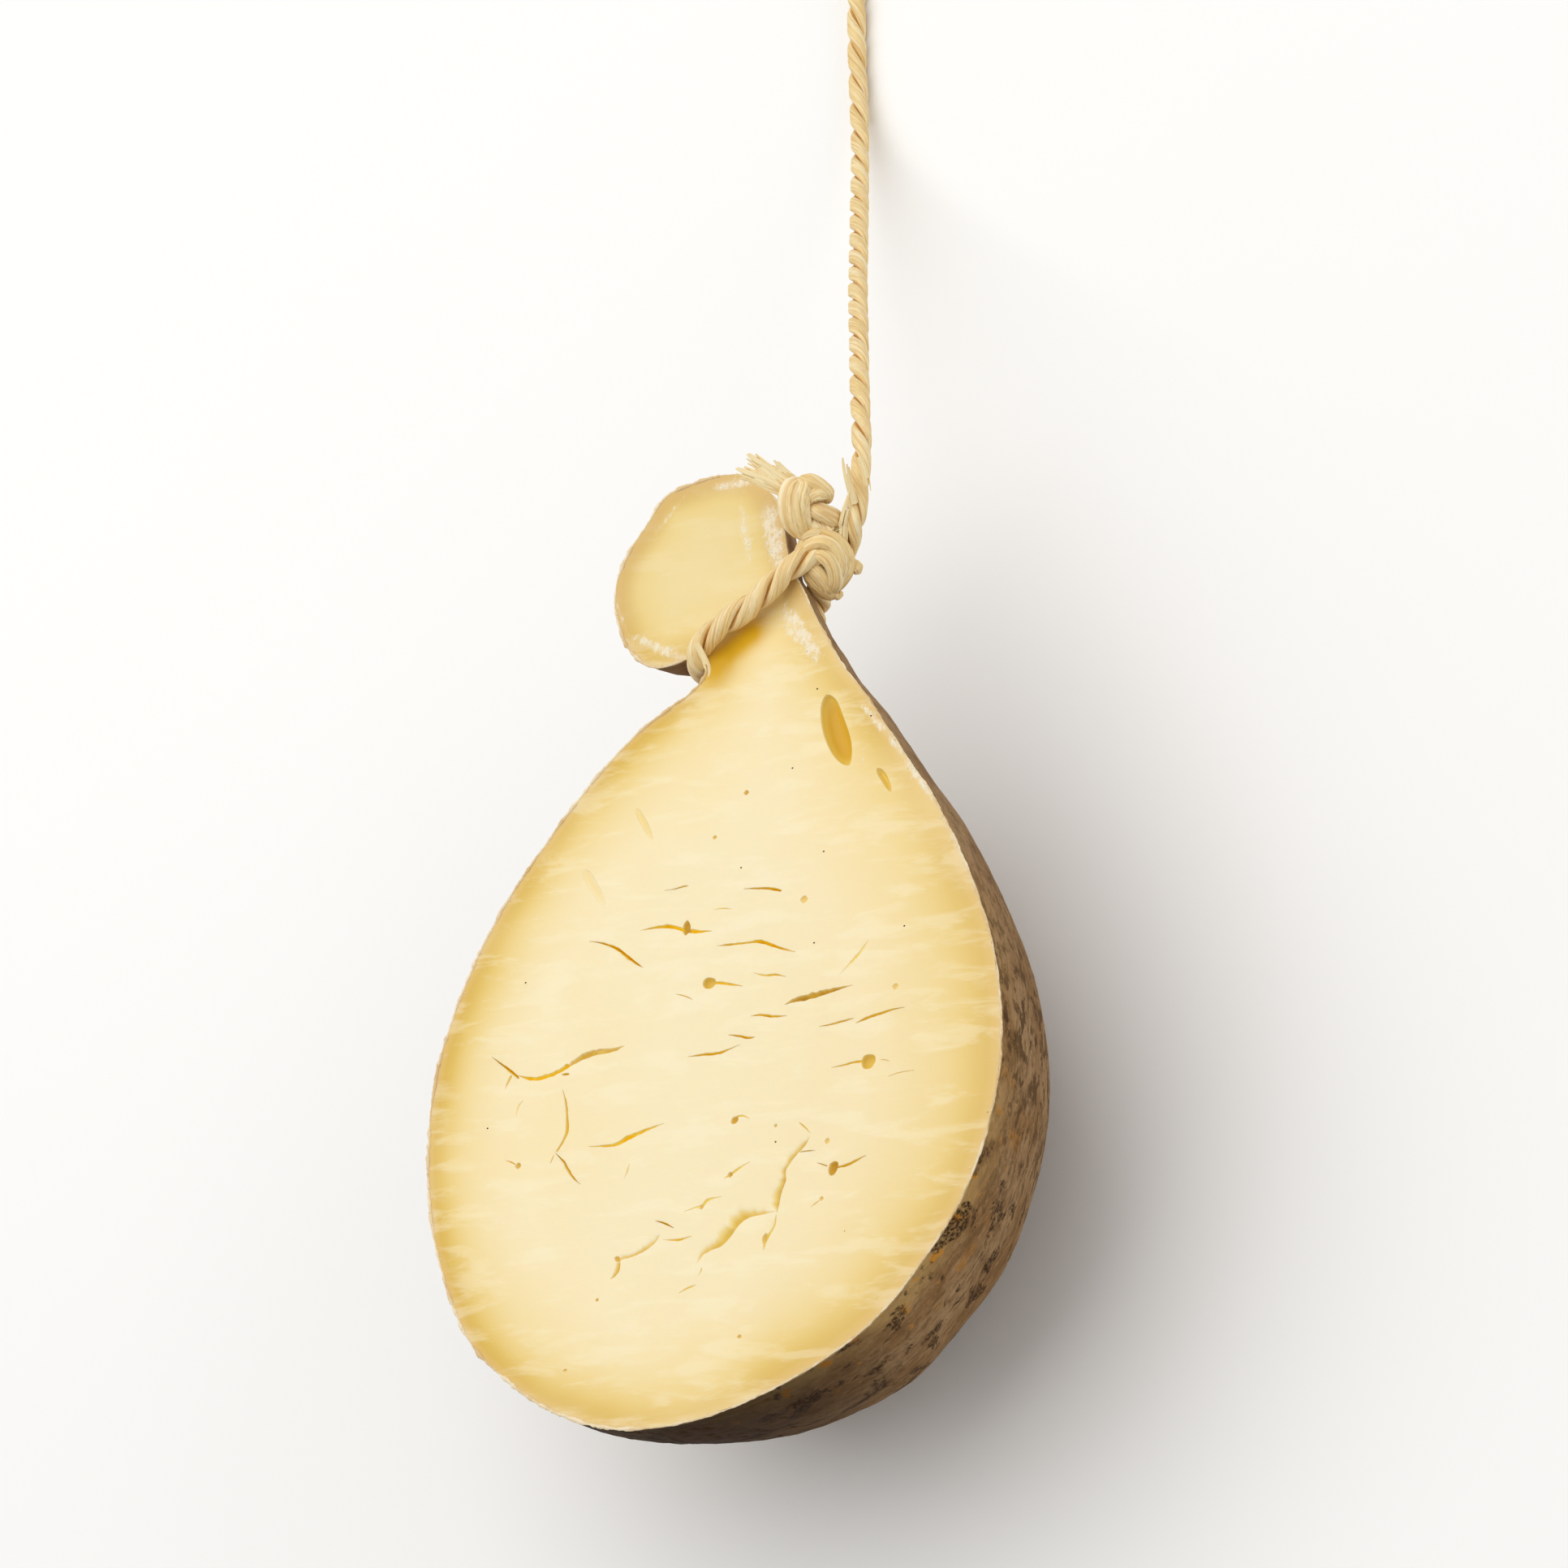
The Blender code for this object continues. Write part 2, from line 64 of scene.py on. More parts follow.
# %% Camera
VIEW_AZIMUTH, VIEW_HEIGHT, VIEW_ROLL = (math.radians(a) for a in (-33.9, 50.5, -55.7))
LOOKS_AT = Vector((18.2, 61.4, 82.7)) * MM
DISTANCE = 1462.0 * MM
LENS = 160.24
SENSOR = 36.0


def view_axes():
    """To the right, up and towards the viewer."""
    front = Vector((math.cos(VIEW_HEIGHT) * math.cos(VIEW_AZIMUTH),
                    math.cos(VIEW_HEIGHT) * math.sin(VIEW_AZIMUTH), math.sin(VIEW_HEIGHT)))
    level = UP.cross(front).normalized()
    across = level * math.cos(VIEW_ROLL) + front.cross(level) * math.sin(VIEW_ROLL)
    return across, front.cross(across), front


ACROSS, ABOVE, FRONT = view_axes()


def link(name, data):
    """A new object in the scene."""
    made = bpy.data.objects.new(name, data)
    bpy.context.scene.collection.objects.link(made)
    return made


def set_camera():
    lens = bpy.data.cameras.new("camera")
    lens.lens = LENS
    lens.sensor_width = SENSOR
    lens.clip_end = 20.0
    camera = link("camera", lens)
    turn = Matrix((ACROSS, ABOVE, FRONT)).transposed().to_4x4()
    camera.matrix_world = Matrix.Translation(LOOKS_AT + FRONT * DISTANCE) @ turn
    bpy.context.scene.camera = camera
    return camera


print("camera at", [round(x, 3) for x in set_camera().matrix_world.translation])

# %% [markdown]
# ## Writing node trees as sums
#
# Materials and Geometry Nodes are both trees of small steps. Adding each Math node by hand hides
# the idea behind the wiring, so a Wire stands for the output of a node, and arithmetic on wires
# adds the nodes. Numbers alone stay plain Python. Every other node comes from Tree.node.

# %% Wires and trees
class Wire:
    """The output of a node. Arithmetic on it adds Math nodes, or Vector Math nodes on vectors."""

    def __init__(self, tree, socket):
        self.tree = tree
        self.socket = socket

    def maths(self, operation, first, second=0.0):
        several = any(isinstance(x, Wire) and x.socket.type in {"VECTOR", "RGBA"}
                      for x in (first, second))
        kind = "ShaderNodeVectorMath" if several else "ShaderNodeMath"
        return self.tree.node(kind, {"operation": operation}, {0: first, 1: second})

    def __add__(self, other):
        return self.maths("ADD", self, other)

    def __radd__(self, other):
        return self.maths("ADD", other, self)

    def __sub__(self, other):
        return self.maths("SUBTRACT", self, other)

    def __rsub__(self, other):
        return self.maths("SUBTRACT", other, self)

    def __mul__(self, other):
        return self.maths("MULTIPLY", self, other)

    def __rmul__(self, other):
        return self.maths("MULTIPLY", other, self)

    def __truediv__(self, other):
        return self.maths("DIVIDE", self, other)

    def __pow__(self, other):
        return self.maths("POWER", self, other)


class Tree:
    """A node tree, with one way to add any node."""

    def __init__(self, tree):
        self.tree = tree

    def node(self, kind, settings=None, sockets=None, out=0):
        """Adds a node: its settings first, then the values or the wires of its sockets."""
        made = self.tree.nodes.new(kind)
        for name, value in (settings or {}).items():
            if name == "stops":
                self.set_stops(made.color_ramp, value)
            else:
                setattr(made, name, value)
        for key, value in (sockets or {}).items():
            self.plug(value, made.inputs[key])
        return Wire(self, made.outputs[out])

    def plug(self, value, target):
        if isinstance(value, Wire):
            self.tree.links.new(value.socket, target)
        elif target.type == "VECTOR" and isinstance(value, (int, float)):
            target.default_value = (value, value, value)
        else:
            target.default_value = value

    def set_stops(self, ramp, stops):
        while len(ramp.elements) < len(stops):
            ramp.elements.new(1.0)
        for element, (position, colour) in zip(ramp.elements, stops):
            element.position = position
            element.color = colour


def shade(red, green, blue):
    """A colour as the eye reads it, from 0 to 255, for Blender's linear sockets."""
    straight = [c / 255 for c in (red, green, blue)]
    return (*(c / 12.92 if c <= 0.04045 else ((c + 0.055) / 1.055) ** 2.4 for c in straight), 1.0)


def mix(tree, factor, first, second):
    """The first colour where the factor is 0, the second where it is 1."""
    return tree.node("ShaderNodeMix", {"data_type": "RGBA"},
                     {0: factor, 6: first, 7: second}, out=2)


def glazed(tree, colour, *layers):
    """Lays tints over a colour in turn. A layer is how much of it shows, and its tint."""
    for share, tint in layers:
        colour = mix(tree, share, colour, shade(*tint))
    return colour


def rise(tree, value, low, high):
    """0 below the low value, 1 above the high one, and a smooth step between."""
    return tree.node("ShaderNodeMapRange", {"interpolation_type": "SMOOTHSTEP"},
                     {"Value": value, "From Min": low, "From Max": high})


def band(tree, value, low, middle, high):
    """0 outside low and high, and 1 at the middle."""
    return rise(tree, value, low, middle) * (1.0 - rise(tree, value, middle, high))


def cloud(tree, place, scale, detail=3.0, roughness=0.5, distortion=0.0):
    """Soft noise from 0 to 1. The scale is in lumps for each metre."""
    return tree.node("ShaderNodeTexNoise", None, {"Vector": place, "Scale": scale, "Detail": detail,
                                                  "Roughness": roughness, "Distortion": distortion})


def combine(tree, x=0.0, y=0.0, z=0.0):
    return tree.node("ShaderNodeCombineXYZ", None, {"X": x, "Y": y, "Z": z})


def separate(tree, vector):
    parts = tree.node("ShaderNodeSeparateXYZ", None, {0: vector})
    return [Wire(tree, output) for output in parts.socket.node.outputs]


def attribute(tree, name, out="Fac"):
    return tree.node("ShaderNodeAttribute", {"attribute_name": name}, out=out)


def object_place(tree):
    return tree.node("ShaderNodeTexCoord", out="Object")


def stretched(tree, place, factors):
    return tree.node("ShaderNodeVectorMath", {"operation": "MULTIPLY"}, {0: place, 1: factors})


def new_finish(name, **constants):
    """A material with its tree and its Principled shader, and the numbers that never vary."""
    material = bpy.data.materials.new(name)
    material.use_nodes = True
    surface = material.node_tree.nodes["Principled BSDF"]
    for socket, value in constants.items():
        surface.inputs[socket.replace("_", " ")].default_value = value
    return material, Tree(material.node_tree), surface


def connect(tree, surface, colour=None, roughness=None, height=None, relief=0.0):
    """Wires up what varies over the surface. Relief is the height, in metres, of a full bump."""
    if colour is not None:
        tree.plug(colour, surface.inputs["Base Color"])
    if roughness is not None:
        tree.plug(roughness, surface.inputs["Roughness"])
    if height is not None:
        bump = tree.node("ShaderNodeBump", None,
                         {"Height": height, "Distance": relief, "Strength": 1.0})
        tree.plug(bump, surface.inputs["Normal"])


print("a mid grey is", [round(c, 3) for c in shade(128, 128, 128)])

# %% [markdown]
# ## The studio
#
# A pale floor and soft light. Most of the light falls on the cut face from a wide panel above
# it, so the paste is bright and even. The rind faces sideways and down, so it is darker, with a
# little light from the right to show its relief.

# %% Floor and lights
FLOOR_SIZE = 8.0


def softbox(name, place, aim, size, power, colour):
    lamp = bpy.data.lights.new(name, "AREA")
    lamp.shape = "SQUARE"
    lamp.size = size
    lamp.energy = power
    lamp.color = colour
    towards = Vector(place) - Vector(aim)
    turn = towards.to_track_quat("Z", "Y").to_matrix().to_4x4()
    link(name, lamp).matrix_world = Matrix.Translation(place) @ turn


def mesh_from(bm, name):
    """Turns a bmesh into a mesh of its own."""
    mesh = bpy.data.meshes.new(name)
    bm.to_mesh(mesh)
    bm.free()
    return mesh


def make_floor():
    bm = bmesh.new()
    bmesh.ops.create_grid(bm, x_segments=1, y_segments=1, size=FLOOR_SIZE / 2)
    floor = link("floor", mesh_from(bm, "floor"))
    material, tree, surface = new_finish("floor", Roughness=0.9, Specular_IOR_Level=0.2)
    place = object_place(tree)
    paper = mix(tree, cloud(tree, place, 3.0), shade(249, 249, 248), shade(252, 252, 251))
    connect(tree, surface, colour=paper)
    floor.data.materials.append(material)


def light_the_room():
    softbox("overhead", (-0.35, 0.35, 1.55), (0.0, 0.05, 0.05), 2.2, 22.5, (1.0, 0.99, 0.975))
    softbox("from_the_right", (1.3, 0.5, 0.6), (0.03, 0.0, 0.04), 0.8, 3.0, (1.0, 0.99, 0.98))
    world = bpy.data.worlds.new("room")
    world.use_nodes = True
    world.node_tree.nodes["Background"].inputs["Color"].default_value = (1.0, 0.995, 0.985, 1.0)
    world.node_tree.nodes["Background"].inputs["Strength"].default_value = 0.45
    bpy.context.scene.world = world
    bpy.context.scene.view_settings.view_transform = "Standard"


make_floor()
light_the_room()
print("floor and lights are in")

# %% [markdown]
# ## Smooth lines
#
# The outline of the cheese and the route of the twine are both a few points with a smooth curve
# through them. A Catmull-Rom curve passes through each point that it is given, so a point can be
# moved on its own. The centripetal kind doesn't loop where the points are unevenly spaced.

# %% Curves through points
def between(points, index, share, closed=False):
    """A point on the curve, a share of the way from one of its points to the next."""
    count = len(points)

    def pick(i):
        if closed:
            return points[i % count]
        if i < 0:
            return points[0] * 2 - points[1]
        return points[i] if i < count else points[-1] * 2 - points[-2]

    p = [pick(index + i) for i in (-1, 0, 1, 2)]
    t = [0.0]
    for a, b in zip(p, p[1:]):
        t.append(t[-1] + max((b - a).length, 1e-6) ** 0.5)
    at = t[1] + (t[2] - t[1]) * share

    def blend(first, second, start, end):
        return first * ((end - at) / (end - start)) + second * ((at - start) / (end - start))

    a = [blend(p[i], p[i + 1], t[i], t[i + 1]) for i in range(3)]
    b = [blend(a[i], a[i + 1], t[i], t[i + 2]) for i in range(2)]
    return blend(*b, t[1], t[2])


def smooth_path(points, step):
    """Points of any number of dimensions, joined by a smooth curve."""
    points = [Vector(p) for p in points]
    path = []
    for i in range(len(points) - 1):
        parts = max(1, round((points[i + 1] - points[i]).length / step))
        path += [between(points, i, k / parts) for k in range(parts)]
    return path + [points[-1]]


def carried(path, first):
    """A direction square to the path, carried along it without twisting."""
    found, side, last = [], Vector(first), len(path) - 1
    for k in range(len(path)):
        along = (path[min(k + 1, last)] - path[max(k - 1, 0)]).normalized()
        side = (side - along * side.dot(along)).normalized()
        found.append(side)
    return found


# %% [markdown]
# ## What straw looks like
#
# Dry straw is cream with a satin shine. Where one strand sinks behind another it is painted
# darker and more orange, a painted shade. Fine fibres run along it. The strands carry numbers:
# where a point is among the fibres, how deep it lies in a crease, and how far it is from the
# middle of the twine; the last two say where the shade is painted. The fibres are noise
# stretched along those numbers, so they follow each strand however it bends.

# %% Straw finish
def make_straw():
    material, tree, surface = new_finish("straw", Specular_IOR_Level=0.3, Subsurface_Weight=0.1,
                                         Subsurface_Scale=0.0003)
    surface.inputs["Subsurface Radius"].default_value = (1.0, 0.8, 0.5)
    tone, crease, away = (attribute(tree, name) for name in ("tone", "crease", "away"))
    grain = attribute(tree, "grain", "Vector")
    fine = cloud(tree, stretched(tree, grain, (4.2, 4.2, 70.0)), 1.0, 4.0, 0.65)
    broad = cloud(tree, stretched(tree, grain, (0.9, 0.9, 55.0)), 1.0, 2.0)
    colour = mix(tree, rise(tree, tone, 0.30, 0.66), shade(240, 211, 148), shade(247, 224, 170))
    colour = glazed(tree, colour,
                    (rise(tree, broad, 0.5, 0.72) * 0.5, (224, 187, 112)),
                    (rise(tree, broad, 0.46, 0.28) * 0.5, (251, 238, 204)),
                    (rise(tree, fine, 0.51, 0.68) * 0.65, (204, 156, 82)),
                    (rise(tree, fine, 0.47, 0.34) * 0.5, (254, 244, 218)),
                    # Painted shade: darker and more orange in the creases, and near the middle of
                    # the twine, between its plies.
                    ((1.0 - crease) * 0.4, (206, 148, 54)),
                    ((1.0 - rise(tree, away, 0.58, 0.98)) * 0.8, (198, 138, 44)),
                    # Painted light: loose straws are paler, to make up for the shade that thin
                    # straws fall in.
                    (attribute(tree, "loose") * 0.7, (255, 233, 182)),
                    (rise(tree, fine, 0.72, 0.80) * 0.5, (150, 104, 58)))
    connect(tree, surface, colour=colour, roughness=0.45 + fine * 0.2, height=fine + broad * 0.5,
            relief=0.00014)
    return material


STRAW = make_straw()

# %% [markdown]
# ## Twine out of bundles
#
# Straw twine is two plies turned round each other. Each ply is a bundle of long fibres pressed
# so close that it reads as one smooth strand with creases along it. A plain tube with a bump
# would lose the creased outline, so each ply is a tube whose every ring is creased for real.
#
# That is one rule for many points, which is work for Geometry Nodes: copy the line once for
# each ply, turn the copy round the line, sweep a ring along it, then set each point of the ring
# by the width and the depth that the line carries there. A bundle is creased where a noise
# crosses its middle value, because such a crossing is a thin meandering line. The noise is long
# along the ply and short round it. Fibres turn against the ply, as in real twine, so they lie
# nearly straight along the whole. The same tree with one ply makes the strands of the knots.

# %% A tree that turns lines into bundles
RING_SIDES = 44
STRAW_SIDES = 8


def start_tree(name, inputs):
    """A Geometry Nodes tree with named inputs. Gives the tree, its input wires and identifiers."""
    group = bpy.data.node_groups.new(name, "GeometryNodeTree")
    group.interface.new_socket("Geometry", in_out="INPUT", socket_type="NodeSocketGeometry")
    group.interface.new_socket("Geometry", in_out="OUTPUT", socket_type="NodeSocketGeometry")
    keys = {}
    for title, kind in inputs.items():
        socket = group.interface.new_socket(title, in_out="INPUT", socket_type="NodeSocket" + kind)
        keys[title] = socket.identifier
    tree = Tree(group)
    entry = group.nodes.new("NodeGroupInput")
    return tree, {s.name: Wire(tree, s) for s in entry.outputs if s.name}, keys


def end_tree(tree, geometry, material):
    """Ends a tree with what the export needs: real meshes that carry their material."""
    smooth = tree.node("GeometryNodeSetShadeSmooth", None, {"Geometry": geometry})
    real = tree.node("GeometryNodeRealizeInstances", None, {"Geometry": smooth})
    painted = tree.node("GeometryNodeSetMaterial", None, {"Geometry": real, "Material": material})
    exit_node = tree.tree.nodes.new("NodeGroupOutput")
    tree.plug(painted, exit_node.inputs[0])


def store(tree, geometry, **values):
    """Stores wires on the points of a geometry, each under its own name."""
    for name, value in values.items():
        kind = "FLOAT_VECTOR" if value.socket.type == "VECTOR" else "FLOAT"
        geometry = tree.node("GeometryNodeStoreNamedAttribute",
                             {"data_type": kind, "domain": "POINT"},
                             {"Geometry": geometry, "Name": name, "Value": value})
    return geometry


def stored(tree, name, vector=False):
    kind = "FLOAT_VECTOR" if vector else "FLOAT"
    return tree.node("GeometryNodeInputNamedAttribute", {"data_type": kind}, {"Name": name})


def function(tree, operation, value, other=0.0):
    return tree.node("ShaderNodeMath", {"operation": operation}, {0: value, 1: other})


def draw(tree, low, high, who, seed):
    """A random number for each strand."""
    return tree.node("FunctionNodeRandomValue", {"data_type": "FLOAT"},
                     {2: low, 3: high, "ID": who, "Seed": seed}, out=1)


def vectors(tree, operation, first, second=0.0, out=0):
    return tree.node("ShaderNodeVectorMath", {"operation": operation},
                     {0: first, 1: second}, out=out)


def position(tree):
    return tree.node("GeometryNodeInputPosition")


def moved(tree, geometry, offset):
    return tree.node("GeometryNodeSetPosition", None, {"Geometry": geometry, "Offset": offset})


def circle(tree, sides, radius):
    return tree.node("GeometryNodeCurvePrimitiveCircle", None,
                     {"Resolution": sides, "Radius": radius})


def sweep(tree, line, ring, scale=1.0, capped=True):
    """Carries the ring along the line."""
    return tree.node("GeometryNodeCurveToMesh", None, {
        "Curve": line, "Profile Curve": ring, "Scale": scale, "Fill Caps": capped})


def even_line(tree, given):
    """The guide's lines as curves, with a point at every step."""
    line = tree.node("GeometryNodeMeshToCurve", None, {"Mesh": given["Geometry"]})
    return tree.node("GeometryNodeResampleCurve", {"mode": "LENGTH"},
                     {"Curve": line, "Length": given["Step"]})


def turned_copies(tree, given, amount):
    """Copies of the line, each point with its number along it, and each copy's number."""
    line = store(tree, even_line(tree, given), centre=position(tree),
                 along=tree.node("GeometryNodeSplineParameter", out="Length"))
    copies = tree.node("GeometryNodeDuplicateElements", {"domain": "SPLINE"},
                       {"Geometry": line, "Amount": amount})
    number = Wire(tree, copies.socket.node.outputs["Duplicate Index"])
    return copies, number


def ply_axes(tree, given, ply):
    """Out of the ply and round it, as the ply turns round the line."""
    outward = vectors(tree, "NORMALIZE", stored(tree, "outward", vector=True))
    side = vectors(tree, "CROSS_PRODUCT", tree.node("GeometryNodeInputTangent"), outward)
    turn = ply * 2 * math.pi / given["Plies"] - stored(tree, "along") * 2 * math.pi / given["Lead"]
    sine, cosine = function(tree, "SINE", turn), function(tree, "COSINE", turn)
    return outward * cosine + side * sine, side * cosine - outward * sine


def bundle_tree():
    tree, given, keys = start_tree("bundles", {
        "Plies": "Int", "Lead": "Float", "Ply Offset": "Float", "Fibre Turn": "Float",
        "Creases": "Float", "Step": "Float", "Seed": "Float", "Material": "Material"})
    copies, ply = turned_copies(tree, given, given["Plies"])
    out_of_ply, round_ply = ply_axes(tree, given, ply)
    copies = store(tree, copies, out_of_ply=out_of_ply, round_ply=round_ply, ply=ply * 1.0)
    copies = moved(tree, copies, stored(tree, "out_of_ply", vector=True) * given["Ply Offset"])
    copies = store(tree, copies, spot=position(tree))
    ring = store(tree, circle(tree, RING_SIDES, 0.001),
                 around=tree.node("GeometryNodeSplineParameter"))
    mesh = sweep(tree, copies, ring)

    along, wide = stored(tree, "along"), stored(tree, "wide")
    angle = stored(tree, "around") * 2 * math.pi
    fibre = angle - along * given["Fibre Turn"]
    where = along * 42.0 + stored(tree, "ply") * 9.1 + given["Seed"]
    sine, cosine = function(tree, "SINE", fibre), function(tree, "COSINE", fibre)
    broad = cloud(tree, combine(tree, cosine * 1.5, sine * 1.5, where), 1.0, 0.0)
    narrow = cloud(tree, combine(tree, cosine * 3.6, sine * 3.6, where * 1.7), 1.0, 0.0)
    furrow = rise(tree, function(tree, "ABSOLUTE", broad - 0.5), 0.0, 0.06)
    fine_furrow = rise(tree, function(tree, "ABSOLUTE", narrow - 0.5), 0.0, 0.05)
    sunken = (1.0 - furrow) + (1.0 - fine_furrow) * 0.6 - (broad - 0.5) * 1.6
    height = 1.0 - given["Creases"] * sunken
    outward = stored(tree, "out_of_ply", vector=True) * function(tree, "COSINE", angle)
    sideways = stored(tree, "round_ply", vector=True) * function(tree, "SINE", angle)
    reach = outward * stored(tree, "deep") + sideways * wide
    place = stored(tree, "spot", vector=True) + reach * height
    mesh = tree.node("GeometryNodeSetPosition", None, {"Geometry": mesh, "Position": place})
    away = vectors(tree, "DISTANCE", position(tree), stored(tree, "centre", vector=True), out=1)
    fibre_place = along + stored(tree, "ply") * 0.37 + given["Seed"] * 0.1
    # crease and away tell the straw finish where to paint shade: in the creases, and between the
    # plies.
    mesh = store(tree, mesh, tone=broad, crease=furrow * (0.5 + fine_furrow * 0.5),
                 away=away / wide + (2.0 - given["Plies"]) * 2.0,
                 grain=combine(tree, cosine, sine, fibre_place))
    end_tree(tree, mesh, given["Material"])
    return tree, keys


BUNDLES = bundle_tree()

# %% [markdown]
# ## Loose straws
#
# At the open ends the bundles fall apart into flat straws. They use the same line and the same
# turning, but each straw is a thin ribbon of its own. It wanders a little, ends where a random
# number says, and flares away from the others towards its tip.

# %% A tree that turns lines into straws
def straw_tree():
    tree, given, keys = start_tree("straws", {
        "Plies": "Int", "Straws": "Int", "Lead": "Float", "Straw Width": "Float",
        "Straw Depth": "Float", "Step": "Float", "Fray": "Float", "Flare": "Float", "Seed": "Int",
        "Material": "Material"})
    copies, straw = turned_copies(tree, given, given["Straws"])
    out_of_ply, round_ply = ply_axes(tree, given, straw * 0.0)
    along, share = stored(tree, "along"), tree.node("GeometryNodeSplineParameter")
    luck = draw(tree, 0.0, 100.0, straw, given["Seed"])
    drift = cloud(tree, combine(tree, along * 90.0, luck), 1.0, 2.0) - 0.5
    angle = straw * 2 * math.pi / given["Straws"] + drift * 1.8
    inner = draw(tree, 0.35, 1.0, straw, given["Seed"] + 4)
    spread = draw(tree, -0.1, 1.3, straw, given["Seed"] + 1)
    opened = 1.0 + given["Flare"] * share * share * share * spread
    reach = inner * opened * (1.0 + drift * 0.3)
    sine, cosine = function(tree, "SINE", angle), function(tree, "COSINE", angle)
    wide, deep = stored(tree, "wide"), stored(tree, "deep")
    offset = out_of_ply * (cosine * deep * reach) + round_ply * (sine * wide * reach)
    facing = vectors(tree, "NORMALIZE", out_of_ply * (cosine / deep) + round_ply * (sine / wide))
    strip = store(tree, copies, facing=facing, tone=draw(tree, 0.2, 0.8, straw, given["Seed"] + 2),
                  thin=1.0 - share ** 6 * 0.8, luck=luck)
    strip = moved(tree, strip, offset)
    cut_at = 1.0 - draw(tree, 0.0, 1.0, straw, given["Seed"] + 3) * given["Fray"]
    strip = tree.node("GeometryNodeTrimCurve", None, {"Curve": strip, 3: cut_at})
    strip = tree.node("GeometryNodeSetCurveNormal", {"mode": "FREE"},
                      {"Curve": strip, "Normal": stored(tree, "facing", vector=True)})
    oval = store(tree, circle(tree, STRAW_SIDES, 0.5), side=position(tree))
    size = combine(tree, given["Straw Depth"], given["Straw Width"], 1.0)
    oval = tree.node("GeometryNodeTransform", None, {"Geometry": oval, "Scale": size})
    thin = stored(tree, "thin")
    mesh = sweep(tree, strip, oval, thin)
    across = stored(tree, "side", vector=True) * 0.35
    # The finish reads these: a straw has no creases and is behind no other ply, so it gets no
    # painted shade, and it is loose.
    mesh = store(tree, mesh, crease=thin * 0.0 + 1.0, away=thin * 0.0 + 2.0, loose=thin * 0.0 + 1.0,
                 grain=across + combine(tree, stored(tree, "luck"), 0.0, stored(tree, "along")))
    end_tree(tree, mesh, given["Material"])
    return tree, keys


STRAWS = straw_tree()


def face_outward(mesh):
    bm = bmesh.new()
    bm.from_mesh(mesh)
    bmesh.ops.recalc_face_normals(bm, faces=bm.faces)
    bm.to_mesh(mesh)
    bm.free()


def grow(name, guide, tree_and_keys, values):
    """Runs a tree on a mesh and keeps what it makes as a plain mesh."""
    tree, keys = tree_and_keys
    holder = link(name, guide)
    modifier = holder.modifiers.new("grow", "NODES")
    modifier.node_group = tree.tree
    for title, value in values.items():
        modifier[keys[title]] = value
    seen = holder.evaluated_get(bpy.context.evaluated_depsgraph_get())
    result = bpy.data.meshes.new_from_object(seen)
    holder.modifiers.remove(modifier)
    holder.data = result
    result.name = name
    face_outward(result)
    return holder


def keep(mesh, **numbers):
    """Keeps arrays of numbers on the points of a mesh, each under its own name."""
    for name, values in numbers.items():
        made = mesh.attributes.new(name, "FLOAT", "POINT")
        made.data.foreach_set("value", values.astype(np.float32))


def guide_mesh(name, runs):
    """Lines with their numbers. A run is a path, its outward directions, half widths and depths,
    and whether it is closed."""
    points, edges, outward, wide, deep = [], [], [], [], []
    for path, faces, widths, depths, closed in runs:
        first = len(points)
        points += path
        outward += faces
        wide += widths
        deep += depths
        edges += [(first + k, first + k + 1) for k in range(len(path) - 1)]
        edges += [(len(points) - 1, first)] if closed else []
    mesh = bpy.data.meshes.new(name)
    mesh.from_pydata(points, edges, [])
    turned = mesh.attributes.new("outward", "FLOAT_VECTOR", "POINT")
    turned.data.foreach_set("vector", np.ravel(outward))
    keep(mesh, wide=np.array(wide), deep=np.array(deep))
    return mesh


def join(name, pieces):
    """One object out of several that have plain meshes in place."""
    bm = bmesh.new()
    for piece in pieces:
        bm.from_mesh(piece.data)
    mesh = mesh_from(bm, name)
    mesh.materials.append(pieces[0].data.materials[0])
    for piece in pieces:
        bpy.data.objects.remove(piece)
    return link(name, mesh)


def wear(piece, slot, *nodes):
    """The piece stands for the nodes and moves with the whole. The slot is not used."""
    if nodes:
        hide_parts(*nodes)
    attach(piece, "root")
    print(piece.name, len(piece.data.polygons), "faces")


# %% [markdown]
# ## The length that it hangs by
#
# The twine leaves the lower knot, droops to the floor and runs on along it to a small tied eye.
# The route repeats the points of the solid that it stands for. It starts a little earlier,
# inside the knot, so that no gap shows. It is long enough to leave the picture, as it does in
# the photo.

# %% Hanging twine
TWINE = 4.3
TWIST_LEAD = 18.0
FIBRE_TURN = 0.2 * 2 * math.pi / (TWIST_LEAD * MM)
# Half the width and half the depth of a ply, and how far out it lies, as shares of the twine's
# radius.
PLY_WIDTH, PLY_DEPTH, PLY_OFFSET = 0.80, 0.56, 0.46
CLEARANCE = 0.35
LOWER_KNOT = Vector((13.4, 118.9, 69.0))
CORD_POINTS = (
    (19.2, 127.2, 69.2), (19.5, 131.0, 69.6), (19.4, 136.5, 69.7), (18.7, 143.0, 69.1),
    (16.0, 152.0, 66.9), (11.8, 162.0, 62.6), (3.7, 179.0, 53.2), (-6.4, 198.0, 41.0),
    (-16.6, 217.5, 28.0), (-26.2, 237.0, 16.0), (-33.4, 254.5, 7.6), (-38.4, 270.5, 3.4),
    (-41.2, 284.5, 2.5), (-43.0, 297.5, 2.5), (-44.8, 311.0, 2.5), (-45.4, 315.5, 3.2),
)
IN_THE_KNOT = ((2.6, -0.6, -2.2), (4.6, 3.8, -1.6))


def knot_point(right, up, towards):
    """A point of the knots in metres, from the lower knot's middle, as the viewer sees it."""
    return (LOWER_KNOT + ACROSS * right + ABOVE * up + FRONT * towards) * MM


